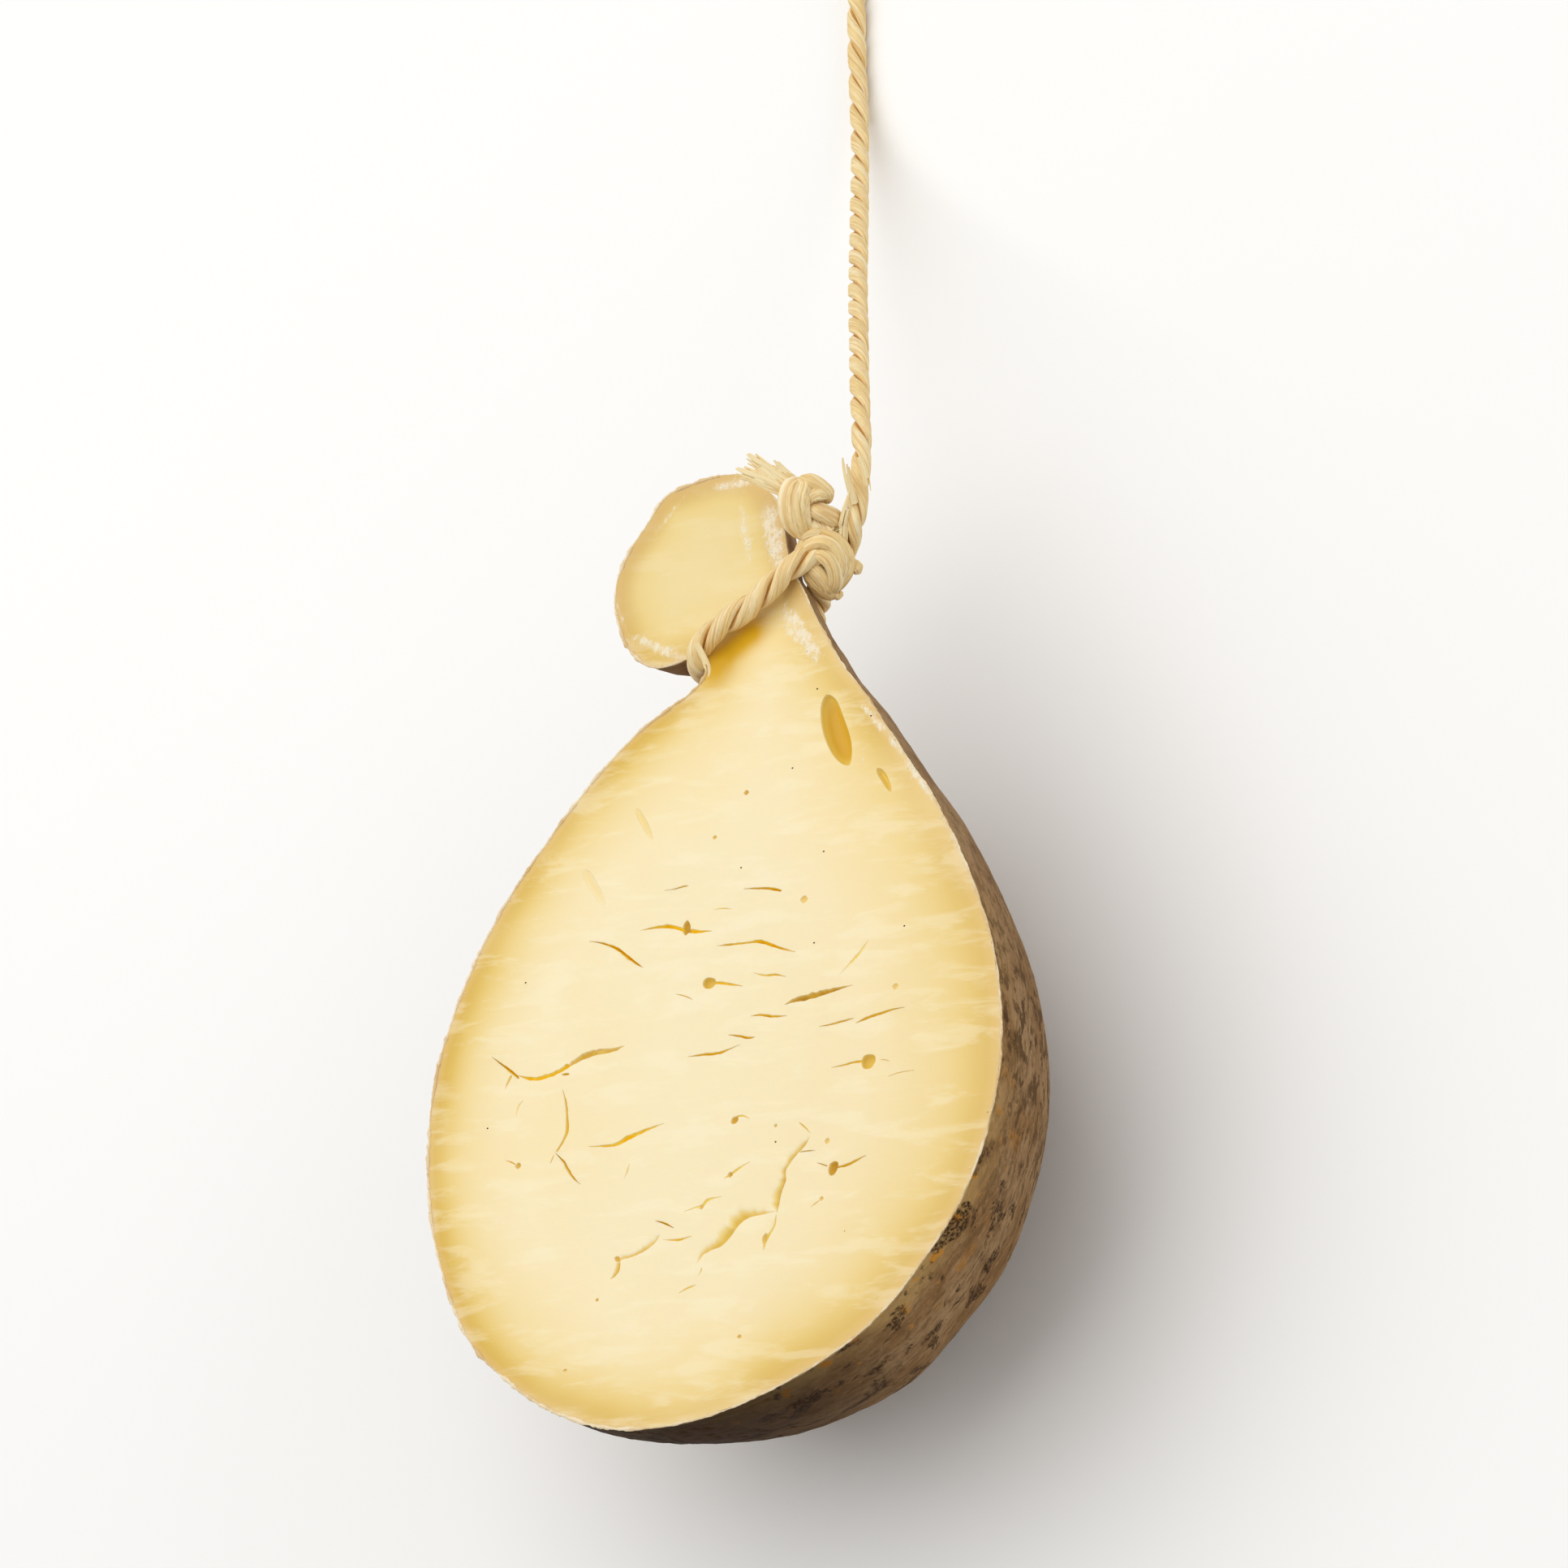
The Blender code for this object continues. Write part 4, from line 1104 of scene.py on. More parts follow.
# Depth, and points: x, y, width to the left, width to the right. One width alone is that of both
# sides, and a point without any has none.
CRACKS = (
    (1.6, ((-17.2, 45.1), (-14.1, 45.2, 0.12), (-12.3, 45.5, 0.2, 0.18), (-10.5, 45.6, 0.1))),
    (2.6, ((3.1, 43.5), (5.4, 43.4, 0.15), (8.8, 43.1, 0.26, 0.3), (11.3, 42.7, 0.29, 0.36),
           (13.4, 42.1, 0.18, 0.29))),
    (0.5, ((-3.9, 39.5), (-1.2, 39.5, 0.17), (1.5, 39.1))),
    (2.0, ((-22.0, 36.4), (-18.2, 36.8, 0.27, 0.31), (-14.0, 36.6, 0.52, 0.41),
           (-10.5, 35.5, 0.39), (-7.6, 34.9, 0.52, 0.45), (-2.8, 34.6))),
    (2.4, ((-34.9, 35.3), (-31.5, 34.6, 0.21, 0.18), (-27.3, 32.9, 0.38, 0.31),
           (-23.4, 30.2, 0.34, 0.38), (-21.6, 29.0, 0.28), (-19.4, 27.7))),
    (2.2, ((-1.9, 31.1), (1.7, 31.1, 0.27, 0.23), (5.8, 31.1, 0.23), (8.8, 31.1, 0.44, 0.33),
           (12.0, 30.1, 0.42, 0.38), (15.5, 28.8, 0.24, 0.21), (18.8, 27.8))),
    (1.4, ((-2.9, 23.0, 0.37), (-0.6, 22.8, 0.36), (3.0, 22.1, 0.29), (6.7, 21.3))),
    (1.0, ((8.1, 24.3), (11.5, 23.3, 0.23), (14.3, 23.2, 0.25, 0.22), (17.3, 22.4))),
    (0.7, ((29.8, 21.4), (32.2, 23.8, 0.3, 0.21), (34.8, 26.3, 0.56, 0.21), (36.5, 29.1))),
    (3.0, ((17.1, 16.1), (19.2, 16.8, 0.59, 0.28), (23.1, 17.3, 0.98, 0.51),
           (27.0, 18.0, 0.71, 0.43), (30.2, 18.6, 0.39, 0.27), (34.2, 19.2))),
    (0.9, ((-10.8, 21.2), (-8.0, 20.4, 0.16), (-5.6, 19.3))),
    (1.8, ((8.7, 14.4), (11.5, 14.5, 0.24), (14.8, 13.9, 0.29), (18.6, 13.7))),
    (1.6, ((26.2, 10.6), (29.1, 10.8, 0.19), (33.0, 11.4, 0.23, 0.19), (35.4, 11.8))),
    (2.6, ((35.2, 10.4), (37.7, 11.3, 0.36, 0.24), (40.9, 12.1, 0.35, 0.31),
           (44.1, 12.8, 0.21, 0.19), (47.4, 13.1))),
    (1.8, ((3.7, 10.8), (6.9, 10.2, 0.25, 0.23), (9.4, 9.6, 0.27, 0.29), (11.3, 9.7))),
    (2.0, ((-5.9, 6.6), (-1.7, 6.8, 0.28, 0.27), (2.0, 6.8, 0.31, 0.33), (4.4, 7.3, 0.22, 0.2),
           (7.7, 8.4))),
    (1.2, ((30.4, 1.2), (33.7, 1.5, 0.19), (36.0, 1.9, 0.27, 0.23), (38.8, 2.0, 0.3))),
    (0.6, ((42.3, 2.0), (43.9, 1.8, 0.14), (45.3, 1.3))),
    (0.6, ((44.6, -2.0), (47.4, -1.3, 0.11), (51.5, -1.0))),
    (2.6, ((-56.4, 11.1), (-53.0, 8.7, 0.28, 0.21), (-50.6, 7.1, 0.38, 0.35), (-48.0, 5.2, 0.24))),
    (2.0, ((-49.2, 6.2), (-44.7, 4.9, 0.51, 0.4), (-41.3, 5.1, 0.6, 0.44),
           (-37.9, 6.0, 0.67, 0.34), (-35.3, 7.2, 0.85, 0.34))),
    (1.7, ((-36.4, 6.7, 0.21), (-32.7, 8.5, 0.96, 0.5), (-28.7, 9.4, 1.0, 0.44),
           (-24.6, 9.8, 0.52), (-21.6, 10.6))),
    (1.3, ((-50.1, 6.4, 0.23), (-50.9, 5.0, 0.36, 0.32), (-51.6, 2.7))),
    (1.8, ((-37.6, 5.3), (-36.3, 5.3, 0.3), (-35.0, 5.2, 0.11))),
    (1.8, ((-36.7, 2.4), (-35.1, -1.4, 0.26), (-34.4, -4.5, 0.34), (-34.0, -7.5, 0.43, 0.39),
           (-34.7, -9.9, 0.38, 0.33), (-36.2, -12.4, 0.22))),
    (3.0, ((-36.5, -12.1), (-33.8, -14.5, 0.29), (-32.1, -16.7, 0.33, 0.31), (-30.6, -18.4, 0.21),
           (-28.5, -20.0))),
    (0.8, ((-36.4, -12.5), (-36.8, -13.6, 0.2), (-37.3, -15.0))),
    (0.6, ((-46.1, 0.5), (-47.4, -1.3, 0.18, 0.45), (-47.6, -3.7))),
    (2.0, ((-28.3, -11.5), (-24.5, -11.7, 0.26, 0.22), (-20.8, -11.7, 0.52, 0.28),
           (-18.6, -10.5, 0.54, 0.62), (-16.8, -9.9, 0.49, 0.61), (-13.7, -9.0, 0.44, 0.32),
           (-9.0, -7.7))),
    (0.7, ((8.1, -8.1), (9.0, -7.7, 0.23), (10.6, -7.8, 0.21), (12.6, -8.7))),
    (0.8, ((24.1, -10.0), (25.9, -11.4, 0.24, 0.2), (27.9, -13.1))),
    (2.2, ((27.7, -13.4), (26.4, -15.5, 0.19, 1.06), (24.9, -17.0, 0.19, 1.26),
           (23.2, -19.1, 0.19, 1.48), (22.4, -20.6, 0.21, 1.25), (22.7, -22.6, 0.21, 1.45),
           (22.1, -24.9, 0.21, 1.98), (21.8, -27.2, 0.21, 2.28), (21.7, -30.0))),
    (1.6, ((25.2, -16.8, 0.09), (27.4, -16.7, 0.15), (29.5, -16.7))),
    (2.2, ((21.9, -29.4), (18.0, -29.7, 0.17, 1.03), (14.7, -30.2, 0.18, 2.18),
           (12.6, -31.5, 0.21, 3.15), (10.9, -33.8, 0.21, 3.38), (9.2, -35.6, 0.21, 3.09),
           (6.3, -36.7, 0.2, 2.01), (4.4, -37.6, 0.21, 1.26), (3.2, -39.8))),
    (1.2, ((21.5, -29.7), (21.4, -32.1, 0.25, 0.37), (20.8, -33.6, 0.29, 0.38),
           (19.6, -35.5, 0.42, 0.63), (19.4, -38.1))),
    (0.6, ((4.6, -40.1), (4.5, -41.1, 0.3), (3.7, -42.5))),
    (1.3, ((-6.8, -32.4), (-8.1, -34.2, 0.21, 1.27), (-10.6, -35.8, 0.2, 1.33),
           (-13.6, -36.7, 0.32, 0.59), (-16.1, -37.4, 0.26, 0.94), (-16.7, -39.7, 0.78, 0.65),
           (-18.1, -41.8))),
    (2.4, ((-8.8, -29.2), (-6.0, -30.1, 0.25, 0.22), (-3.3, -31.4))),
    (0.9, ((-6.3, -33.6), (-2.1, -33.9, 0.22, 0.34), (1.7, -33.2))),
    (0.8, ((7.1, -21.4), (8.9, -20.5, 0.33), (11.2, -19.1, 0.27), (13.9, -17.8))),
    (0.8, ((-2.1, -28.0), (1.0, -27.2, 0.23), (2.8, -26.9, 0.41), (3.9, -25.8, 0.4),
           (7.9, -25.1))),
    (0.7, ((-0.8, -45.9), (1.7, -44.7, 0.24, 0.3), (4.2, -44.0))),
    (2.4, ((34.8, -20.9, 0.19), (37.8, -20.4, 0.35, 0.31), (39.7, -19.6, 0.26, 0.24),
           (42.2, -18.6))),
    (0.9, ((29.7, -19.4), (31.3, -19.9, 0.14), (33.0, -20.5, 0.14))),
    (0.7, ((-49.3, -12.9), (-47.5, -13.5, 0.16), (-45.9, -14.3, 0.17))),
    (0.8, ((38.3, -35.3), (38.7, -34.9, 0.17, 0.12), (39.0, -34.5))),
    (0.6, ((29.4, -29.3), (30.9, -28.3, 0.16), (32.1, -27.4))),
    (0.5, ((-17.9, -19.7), (-17.1, -18.0, 0.3, 0.13), (-16.8, -15.8))),
)
# Eyes are bowls: depth, and points with one half width.
EYES = (
    (2.4, ((18.5, 86.1, 0), (19.0, 84.9, 0.98), (19.6, 83.3, 1.86), (21.0, 79.5, 2.71),
           (22.4, 76.5, 2.85), (23.9, 73.6, 2.44), (25.2, 71.2, 1.39), (26.5, 69.1, 0))),
    (1.0, ((33.5, 67.6, 0), (34.4, 66.7, 0.7), (35.8, 64.9, 0.82), (36.8, 63.3, 0.55),
           (37.8, 61.8, 0))),
    (0.3, ((-26.7, 65.0, 0), (-25.9, 63.6, 0.68), (-24.0, 60.9, 0.83), (-22.4, 58.5, 0.56),
           (-21.2, 56.9, 0))),
    (0.22, ((-38.4, 52.0, 0), (-37.4, 50.7, 0.93), (-35.3, 47.9, 1.12), (-33.2, 45.1, 0.86),
            (-31.4, 42.5, 0))),
    (1.8, ((-9.9, 37.7, 0), (-9.9, 36.7, 0.76), (-9.8, 35.6, 1.03), (-9.9, 34.2, 0))),
    (1.4, ((-4.0, 23.1, 0), (-3.3, 23.0, 1.01), (-2.2, 22.8, 1.28), (-1.2, 22.7, 0.86),
           (-0.6, 22.6, 0))),
    (1.4, ((38.0, 1.9, 0), (38.7, 1.9, 1.28), (39.7, 1.8, 1.64), (40.8, 1.8, 1.27),
           (41.5, 1.7, 0))),
    (1.8, ((34.3, -19.4, 0), (34.3, -20.0, 0.95), (34.1, -21.1, 1.12), (33.9, -22.1, 0.62),
           (33.8, -22.6, 0))),
    (1.1, ((7.6, -9.2, 0), (8.1, -8.7, 0.77), (8.6, -8.3, 0.77), (9.0, -7.7, 0))),
    (0.9, ((8.2, -20.5, 0), (8.9, -20.5, 0.62), (9.6, -20.5, 0))),
    (0.7, ((2.0, -27.1, 0), (2.7, -27.1, 0.58), (3.3, -27.2, 0))),
    (0.6, ((18.1, 39.7, 0), (19.1, 39.6, 0.89), (20.1, 39.5, 0))),
    (0.5, ((43.5, 18.0, 0), (44.3, 17.9, 0.69), (45.1, 17.8, 0))),
    (0.8, ((0.5, 65.6, 0), (1.2, 65.6, 0.59), (1.9, 65.6, 0))),
    (0.6, ((-6.1, 56.2, 0), (-5.5, 56.1, 0.49), (-4.9, 56.1, 0))),
    (0.8, ((-46.2, -14.5, 0), (-45.4, -14.5, 0.75), (-44.6, -14.6, 0))),
    (0.5, ((31.2, -14.9, 0), (31.9, -14.9, 0.68), (32.6, -15.0, 0))),
    (0.5, ((18.3, -10.4, 0), (18.7, -10.5, 0.4), (19.2, -10.5, 0))),
    (0.5, ((31.6, -27.3, 0), (32.2, -27.4, 0.54), (32.7, -27.4, 0))),
    (0.6, ((-21.1, -45.8, 0), (-20.7, -45.8, 0.4), (-20.2, -45.8, 0))),
    (0.6, ((15.4, -56.0, 0), (16.0, -56.0, 0.46), (16.6, -56.1, 0))),
    (0.8, ((19.5, -33.9, 0), (19.4, -35.1, 0.7), (19.3, -36.5, 0))),
    (0.8, ((-17.6, -36.7, 0), (-16.9, -37.1, 0.61), (-16.1, -37.5, 0))),
    (0.5, ((-27.0, -60.8, 0), (-26.4, -60.8, 0.36), (-25.9, -60.8, 0))),
)
EYE_SIDES = 18
# Pin holes, brown inside: the half sizes of each one, and their places.
PIN_RADII = (0.24, 0.2)
PIN_SIDES = 8
PIN_HOLES = (
    (22.9, 29.5), (22.6, 50.0), (12.2, 70.0), (2.2, 48.4), (19.2, -14.1), (44.8, 31.2),
    (30.5, 79.9), (16.1, 87.7), (-49.8, 27.2), (-54.7, -5.4),
)


def cutter(sections, first, last, material):
    return link("cutter", closed_skin("cutter", sections, first, last, [material]))


def side_of(path, k):
    along = (path[min(k + 1, len(path) - 1)].xy - path[max(k - 1, 0)].xy).normalized()
    return Vector((-along.y, along.x))


def crack_section(spot, side, left, right, deep):
    """A groove: steep where its half width is small, and a long slope where it is large."""
    shape = ((left, CUTTER_RISE), (-right, CUTTER_RISE), (-right, 0.0),
             (-right * 0.62, -deep * 0.24), (-right * 0.3, -deep * 0.62), (0.0, -deep),
             (left * 0.75, -deep * 0.6), (left, 0.0))
    return [(*(spot + side * x), CUT_HEIGHT + z) for x, z in shape]


def crack_cutter(depth, points, narrow, wide):
    """A crack's cutter, which gives its walls the narrow or the wide material."""
    points = [(x, y, *(widths * 2 or (0, 0))[:2]) for x, y, *widths in points]
    path = smooth_path(points, CRACK_STEP)
    widest = max(left + right for x, y, left, right in points)
    sections = []
    for k in range(1, len(path) - 1):
        x, y, left, right = path[k]
        here = Vector((x, y, 0.0))
        rough = [1.0 + 0.45 * noise.noise(here * 0.9 + UP * seed) for seed in (1, 5)]
        left, right = max(left * rough[0], 0.05), max(right * rough[1], 0.05)
        fullness = min(1.0, (left + right) / widest) ** 0.8
        deep = depth * fullness * (0.62 + 0.25 * noise.noise(here * 0.4))
        deep = min(deep, 0.35 + 1.6 * (left + right))
        sections.append(crack_section(here.xy, side_of(path, k), left, right, deep))
    ends = [(*path[i].xy, CUT_HEIGHT + CUTTER_RISE) for i in (0, -1)]
    return cutter(sections, *ends, wide if widest > WIDE_CRACK else narrow)


def eye_cutter(depth, points, material):
    widest = max(width for x, y, width in points)
    path = smooth_path(points, min(CRACK_STEP, widest / 4.5))
    sections = []
    for k in range(1, len(path) - 1):
        width = widest * (max(path[k].z, 0.02) / widest) ** 0.62
        side, deep = side_of(path, k), depth * (width / widest) ** 0.8
        section = []
        for i in range(EYE_SIDES):
            turn = 2 * math.pi * i / EYE_SIDES
            spot = path[k].xy + side * width * math.cos(turn)
            section.append((*spot, CUT_HEIGHT + deep * math.sin(turn)))
        sections.append(section)
    ends = [(*path[i].xy, CUT_HEIGHT) for i in (0, -1)]
    return cutter(sections, *ends, material)


def pin_cutter(x, y, material):
    turns = [2 * math.pi * i / PIN_SIDES for i in range(PIN_SIDES)]
    section = [(x + PIN_RADII[0] * math.cos(turn), y + PIN_RADII[1] * math.sin(turn), CUT_HEIGHT)
               for turn in turns]
    return cutter([section], (x, y, CUT_HEIGHT + 1.0), (x, y, CUT_HEIGHT - 0.4), material)


def cut(target, cutters):
    """Cuts all the cutters out of the target at once, and removes them."""
    group = bpy.data.collections.new("cutters")
    bpy.context.scene.collection.children.link(group)
    for piece in cutters:
        bpy.context.scene.collection.objects.unlink(piece)
        group.objects.link(piece)
    step = target.modifiers.new("cut", "BOOLEAN")
    step.operation = "DIFFERENCE"
    step.operand_type = "COLLECTION"
    step.collection = group
    step.solver = "MANIFOLD"
    step.material_mode = "TRANSFER"
    seen = target.evaluated_get(bpy.context.evaluated_depsgraph_get())
    result = bpy.data.meshes.new_from_object(seen)
    target.modifiers.remove(step)
    target.data = result
    for piece in cutters:
        bpy.data.objects.remove(piece)
    bpy.data.collections.remove(group)


# %% [markdown]
# ## Relief, and numbers for the finishes
#
# The rind is a dry skin, with long shallow folds, fine wrinkles and small pits, and a ragged cut
# edge. The face was cut with a long knife, so it is nearly flat, but it sags a little under the
# twine, where the neck was pinched. All this is real shape: a sum of noises moves each point of
# the rind, and a smooth dent moves the points of the face.
#
# The finishes need to know more than a place: how far a point is from the rim, how amber the
# paste is beside the twine, and where white bloom lies. Lists of soft patches say so, and every
# point keeps the result as a number.

# %% Relief
# How far each kind of relief moves the rind out or in, in millimetres.
FOLDS, WRINKLES, FINE_WRINKLES, PITS, RAGGED_EDGE = 0.55, 0.16, 0.05, 1.3, 0.3
# The line of the twine across the neck, on the body's side. Past its middle lies the head.
TWINE_LINE = ((-11.6, 95.6), (-8.6, 99.4), (-3.2, 103.2), (3.8, 109.6))
TWINE_MIDDLE = (-2.0, 105.0)
# How deep the face is dented there, and how far from the line the dent and the amber fade.
NECK_DENT = 1.1
DENT_REACH = 5.0
AMBER_REACH = 4.2
# Bloom: middle, half length, half width, turn in degrees, strength.
BLOOM = (
    (0.0, 125.6, 9.6, 2.7, -71, 1.0), (-7.4, 126.8, 9.0, 1.8, -74, 0.66),
    (-11.9, 139.2, 6.4, 1.5, 1, 0.85), (-25.5, 101.8, 9.5, 1.5, -26, 0.85),
    (10.4, 101.0, 10.0, 2.2, -53, 0.9), (6.7, 104.5, 6.1, 2.2, -58, 0.75),
    (31.4, 79.0, 7.0, 1.1, -48, 0.75), (37.6, 72.8, 5.0, 1.3, -51, 0.85),
    (44.6, 64.6, 7.7, 1.7, -51, 0.95), (55.4, 49.4, 9.2, 1.3, -60, 0.85),
    (61.4, 38.4, 6.0, 0.9, -66, 0.6), (28.7, 72.1, 5.3, 0.5, -65, 0.45),
    (-28.0, 133.6, 6.0, 0.9, 52, 0.55), (-38.0, 112.0, 6.0, 0.9, -60, 0.6),
)


def distance_to_segment(spots, start, end):
    """How far points are from a segment, as an array."""
    start, end = np.array(start), np.array(end)
    line = end - start
    share = np.clip(((spots - start) @ line) / (line @ line), 0, 1)
    return np.linalg.norm(spots - start - share[:, None] * line, axis=1)


def distance_to_line(spots, line, closed=False):
    nearest = np.full(len(spots), 1e9)
    for k in range(0 if closed else 1, len(line)):
        nearest = np.minimum(nearest, distance_to_segment(spots, line[k - 1], line[k]))
    return nearest


def bloom_at(spots):
    bloom = np.zeros(len(spots))
    for x, y, half_length, half_width, turn, strength in BLOOM:
        cosine, sine = math.cos(math.radians(turn)), math.sin(math.radians(turn))
        away = spots - (x, y)
        along = (away @ (cosine, sine)) / half_length
        across = (away @ (-sine, cosine)) / half_width
        bloom = np.maximum(bloom, strength * np.exp(-(along ** 4 + across ** 2)))
    return bloom


def rind_shift(spot, below):
    """How far a point of the rind moves out, in millimetres."""
    folds = noise.noise(Vector((spot.x, spot.y * 0.45, spot.z)) * 0.07)
    wrinkles = noise.noise(Vector((spot.x, spot.y * 0.5, spot.z)) * 0.35)
    fine = noise.noise(spot * 1.3)
    pit = max(0.0, noise.noise(spot * 0.55 + Vector((9, 4, 2))) - 0.33)
    edge = math.exp(-(below / 0.9) ** 2)
    ragged = noise.noise(spot * 0.75 + Vector((3, 3, 3))) * RAGGED_EDGE * edge
    skin = FOLDS * folds + WRINKLES * wrinkles + FINE_WRINKLES * fine - PITS * pit
    return min(1.0, below / 3.0) * skin + ragged


def relieve(mesh, outline, flow_tree, flow):
    """Moves the points of the mesh, in millimetres, and keeps the numbers for the finishes."""
    count = len(mesh.vertices)
    places, normals = np.empty(count * 3, np.float32), np.empty(count * 3, np.float32)
    mesh.vertices.foreach_get("co", places)
    mesh.vertices.foreach_get("normal", normals)
    places, normals = places.reshape(-1, 3).astype(float), normals.reshape(-1, 3).astype(float)
    below = CUT_HEIGHT - places[:, 2]
    rim = distance_to_line(places[:, :2], outline, closed=True)
    on_face = below < 0.01
    # In a hollow a point lies a little below the face, well inside the rim, and faces up.
    inside = ~on_face & (below < 4.0) & (rim > 1.5 + below * 0.4) & (normals[:, 2] > -0.2)
    on_rind = ~on_face & ~inside
    from_rim = np.where(on_rind, 0.0, rim)

    shift = np.zeros(count)
    for k in np.nonzero(on_rind | (on_face & (rim < 0.05)))[0]:
        shift[k] = rind_shift(Vector(places[k]), below[k])
    moves = normals * shift[:, None]
    moves[on_face, 2] = 0.0
    places += moves
    places[:, 2] = np.maximum(places[:, 2], 0.0)

    to_twine = distance_to_line(places[:, :2], TWINE_LINE)
    to_amber = distance_to_line(places[:, :2], TWINE_LINE[:3])
    dent = np.exp(-(to_twine / DENT_REACH) ** 2) * np.clip((from_rim - 0.6) / 4.0, 0, 1)
    places[~on_rind, 2] -= NECK_DENT * dent[~on_rind]
    mesh.vertices.foreach_set("co", (places * MM).astype(np.float32).ravel())
    lean = (-math.sin(HEAD_LEAN), math.cos(HEAD_LEAN))
    past_twine = (places[:, :2] - TWINE_MIDDLE) @ lean
    on_body = 1.0 - np.clip((past_twine - 2.0) / 3.5, 0, 1)
    # The amber beside the twine: partly the deeper colour of the pinched paste, partly a painted
    # shadow of the twine.
    amber = np.exp(-(to_amber / AMBER_REACH) ** 1.3) * on_body
    nearest = [flow_tree.find(place)[1] for place in places]
    keep(mesh, from_rim=from_rim, amber=amber, sunk=np.where(inside, below, 0.0), below=below,
         bloom=bloom_at(places[:, :2]) * on_face, crosswise=flow[nearest, 0] * MM,
         lengthwise=flow[nearest, 1] * MM)


# %% [markdown]
# ## Paste
#
# The paste is cream in the middle and dries to gold near the rind, in a band that is broader on
# the right. Its right side is also painted a little darker and yellower: painted shade, as the
# light falls off to the right. Down in a crack the light has come through more paste, so the
# walls are painted amber: painted light. By the twine the paste is amber too: partly the deeper
# colour of the pinched neck, partly a painted shadow of the twine. Where the dry edge broke it is
# frosted with white bloom.
#
# A narrow crack lies in its own shadow, so its walls need a stronger colour than those of an eye
# or a wide crack. One function makes both finishes, and they differ in three tints.

# %% Paste finish
def flakes(tree, place):
    """The noise that breaks up the bloom. The crumbs use it too, so that they lie on the frost."""
    return cloud(tree, stretched(tree, place, (1.3, 0.8, 1.0)), 620.0, 5.0, 0.7)


# The paste down a hollow, from its lip to its bottom: depths, and the tints of either kind.
# The tints are painted light: the deeper, the more amber, for light that has come through more
# paste, and a narrow crack's are brighter to make up for its own shadow.
HOLLOW_DEPTHS = ((0.03, 0.4), (0.3, 0.9), (1.1, 2.0))
# How far from the rim, in millimetres, the dried band's colours reach.
DRIED_WIDTH = 40.0
IN_NARROW_CRACKS = ((246, 220, 106), (255, 218, 20), (252, 200, 0))
IN_WIDE_HOLLOWS = ((240, 214, 136), (230, 196, 84), (216, 168, 34))


def make_paste(name, hollow_colours):
    material, tree, surface = new_finish(name, Subsurface_Weight=0.30, Subsurface_Scale=0.0035,
                                         Specular_IOR_Level=0.4)
    surface.inputs["Subsurface Radius"].default_value = (1.0, 0.75, 0.35)
    place = object_place(tree)
    x, y = separate(tree, place)[:2]
    from_rim, amber, sunk = (attribute(tree, name) for name in ("from_rim", "amber", "sunk"))
    waver = cloud(tree, place, 28.0, 2.0) - 0.5
    rightward = rise(tree, x, -0.01, 0.06)
    inward = from_rim * (1.0 + waver * 0.5) * (1.0 - rightward * 0.34) + waver * 0.8
    dried = inward / DRIED_WIDTH
    colour = tree.node("ShaderNodeValToRGB", {"stops": (
        (0.0, shade(220, 186, 126)), (0.02, shade(221, 183, 98)), (0.05, shade(217, 180, 78)),
        (0.085, shade(222, 187, 88)), (0.115, shade(228, 196, 106)), (0.15, shade(233, 204, 124)),
        (0.225, shade(239, 215, 150)), (0.30, shade(242, 221, 165)), (0.45, shade(245, 227, 181)),
        (0.60, shade(246, 230, 188)), (0.90, shade(245, 230, 189)))}, {0: dried})
    patches = cloud(tree, place, 22.0, 2.0)
    knife = cloud(tree, stretched(tree, place, (60.0, 240.0, 60.0)), 1.0, 4.0, 0.6, 0.4)
    head = rise(tree, y, 0.098, 0.112)
    head_rim = head * (1.0 - rise(tree, from_rim, 1.0, 7.0))
    colour = glazed(tree, colour,
                    (rise(tree, patches, 0.42, 0.66) * 0.4, (245, 223, 166)),
                    # Painted shade: the right side a little darker and yellower, as the light falls
                    # off to the right.
                    (rightward * 0.3, (237, 212, 150)),
                    # Lighter along the knife drags, which are also in the bump: a painted sheen.
                    (rise(tree, knife, 0.48, 0.66) * 0.3, (251, 241, 210)),
                    (head * 0.5, (229, 206, 134)),
                    (head_rim * 0.45, (204, 160, 92)),
                    # Amber beside the twine: partly the pinched paste's colour, partly a painted
                    # shadow of the twine.
                    (rise(tree, amber, 0.05, 0.9), (228, 180, 20)))
    # Painted light in the hollows: more amber with depth, and brighter in narrow cracks against
    # their own shadow.
    for (low, high), tint in zip(HOLLOW_DEPTHS, hollow_colours):
        colour = glazed(tree, colour, (rise(tree, sunk, low, high) * (1.0 - amber), tint))

    flaky = flakes(tree, place) - 0.5
    bloom = attribute(tree, "bloom")
    frost = rise(tree, bloom + flaky * 3.2, 0.48, 0.98) * rise(tree, bloom, 0.05, 0.3)
    film = rise(tree, bloom, 0.3, 0.9) * 0.25
    colour = mix(tree, film + frost * 0.6, colour, shade(244, 234, 212))

    grain = cloud(tree, place, 800.0, 3.0)
    height = knife * 0.6 + grain * 0.15 + frost * 0.15
    roughness = 0.42 + cloud(tree, place, 160.0) * 0.16 + frost * 0.25
    connect(tree, surface, colour=colour, roughness=roughness, height=height, relief=0.00016)
    return material


def make_speck():
    """The brown inside of a pin hole."""
    material, tree, surface = new_finish("speck", Roughness=0.7)
    place = object_place(tree)
    brown = mix(tree, cloud(tree, place, 900.0), shade(150, 104, 40), shade(104, 66, 24))
    connect(tree, surface, colour=brown)
    return material
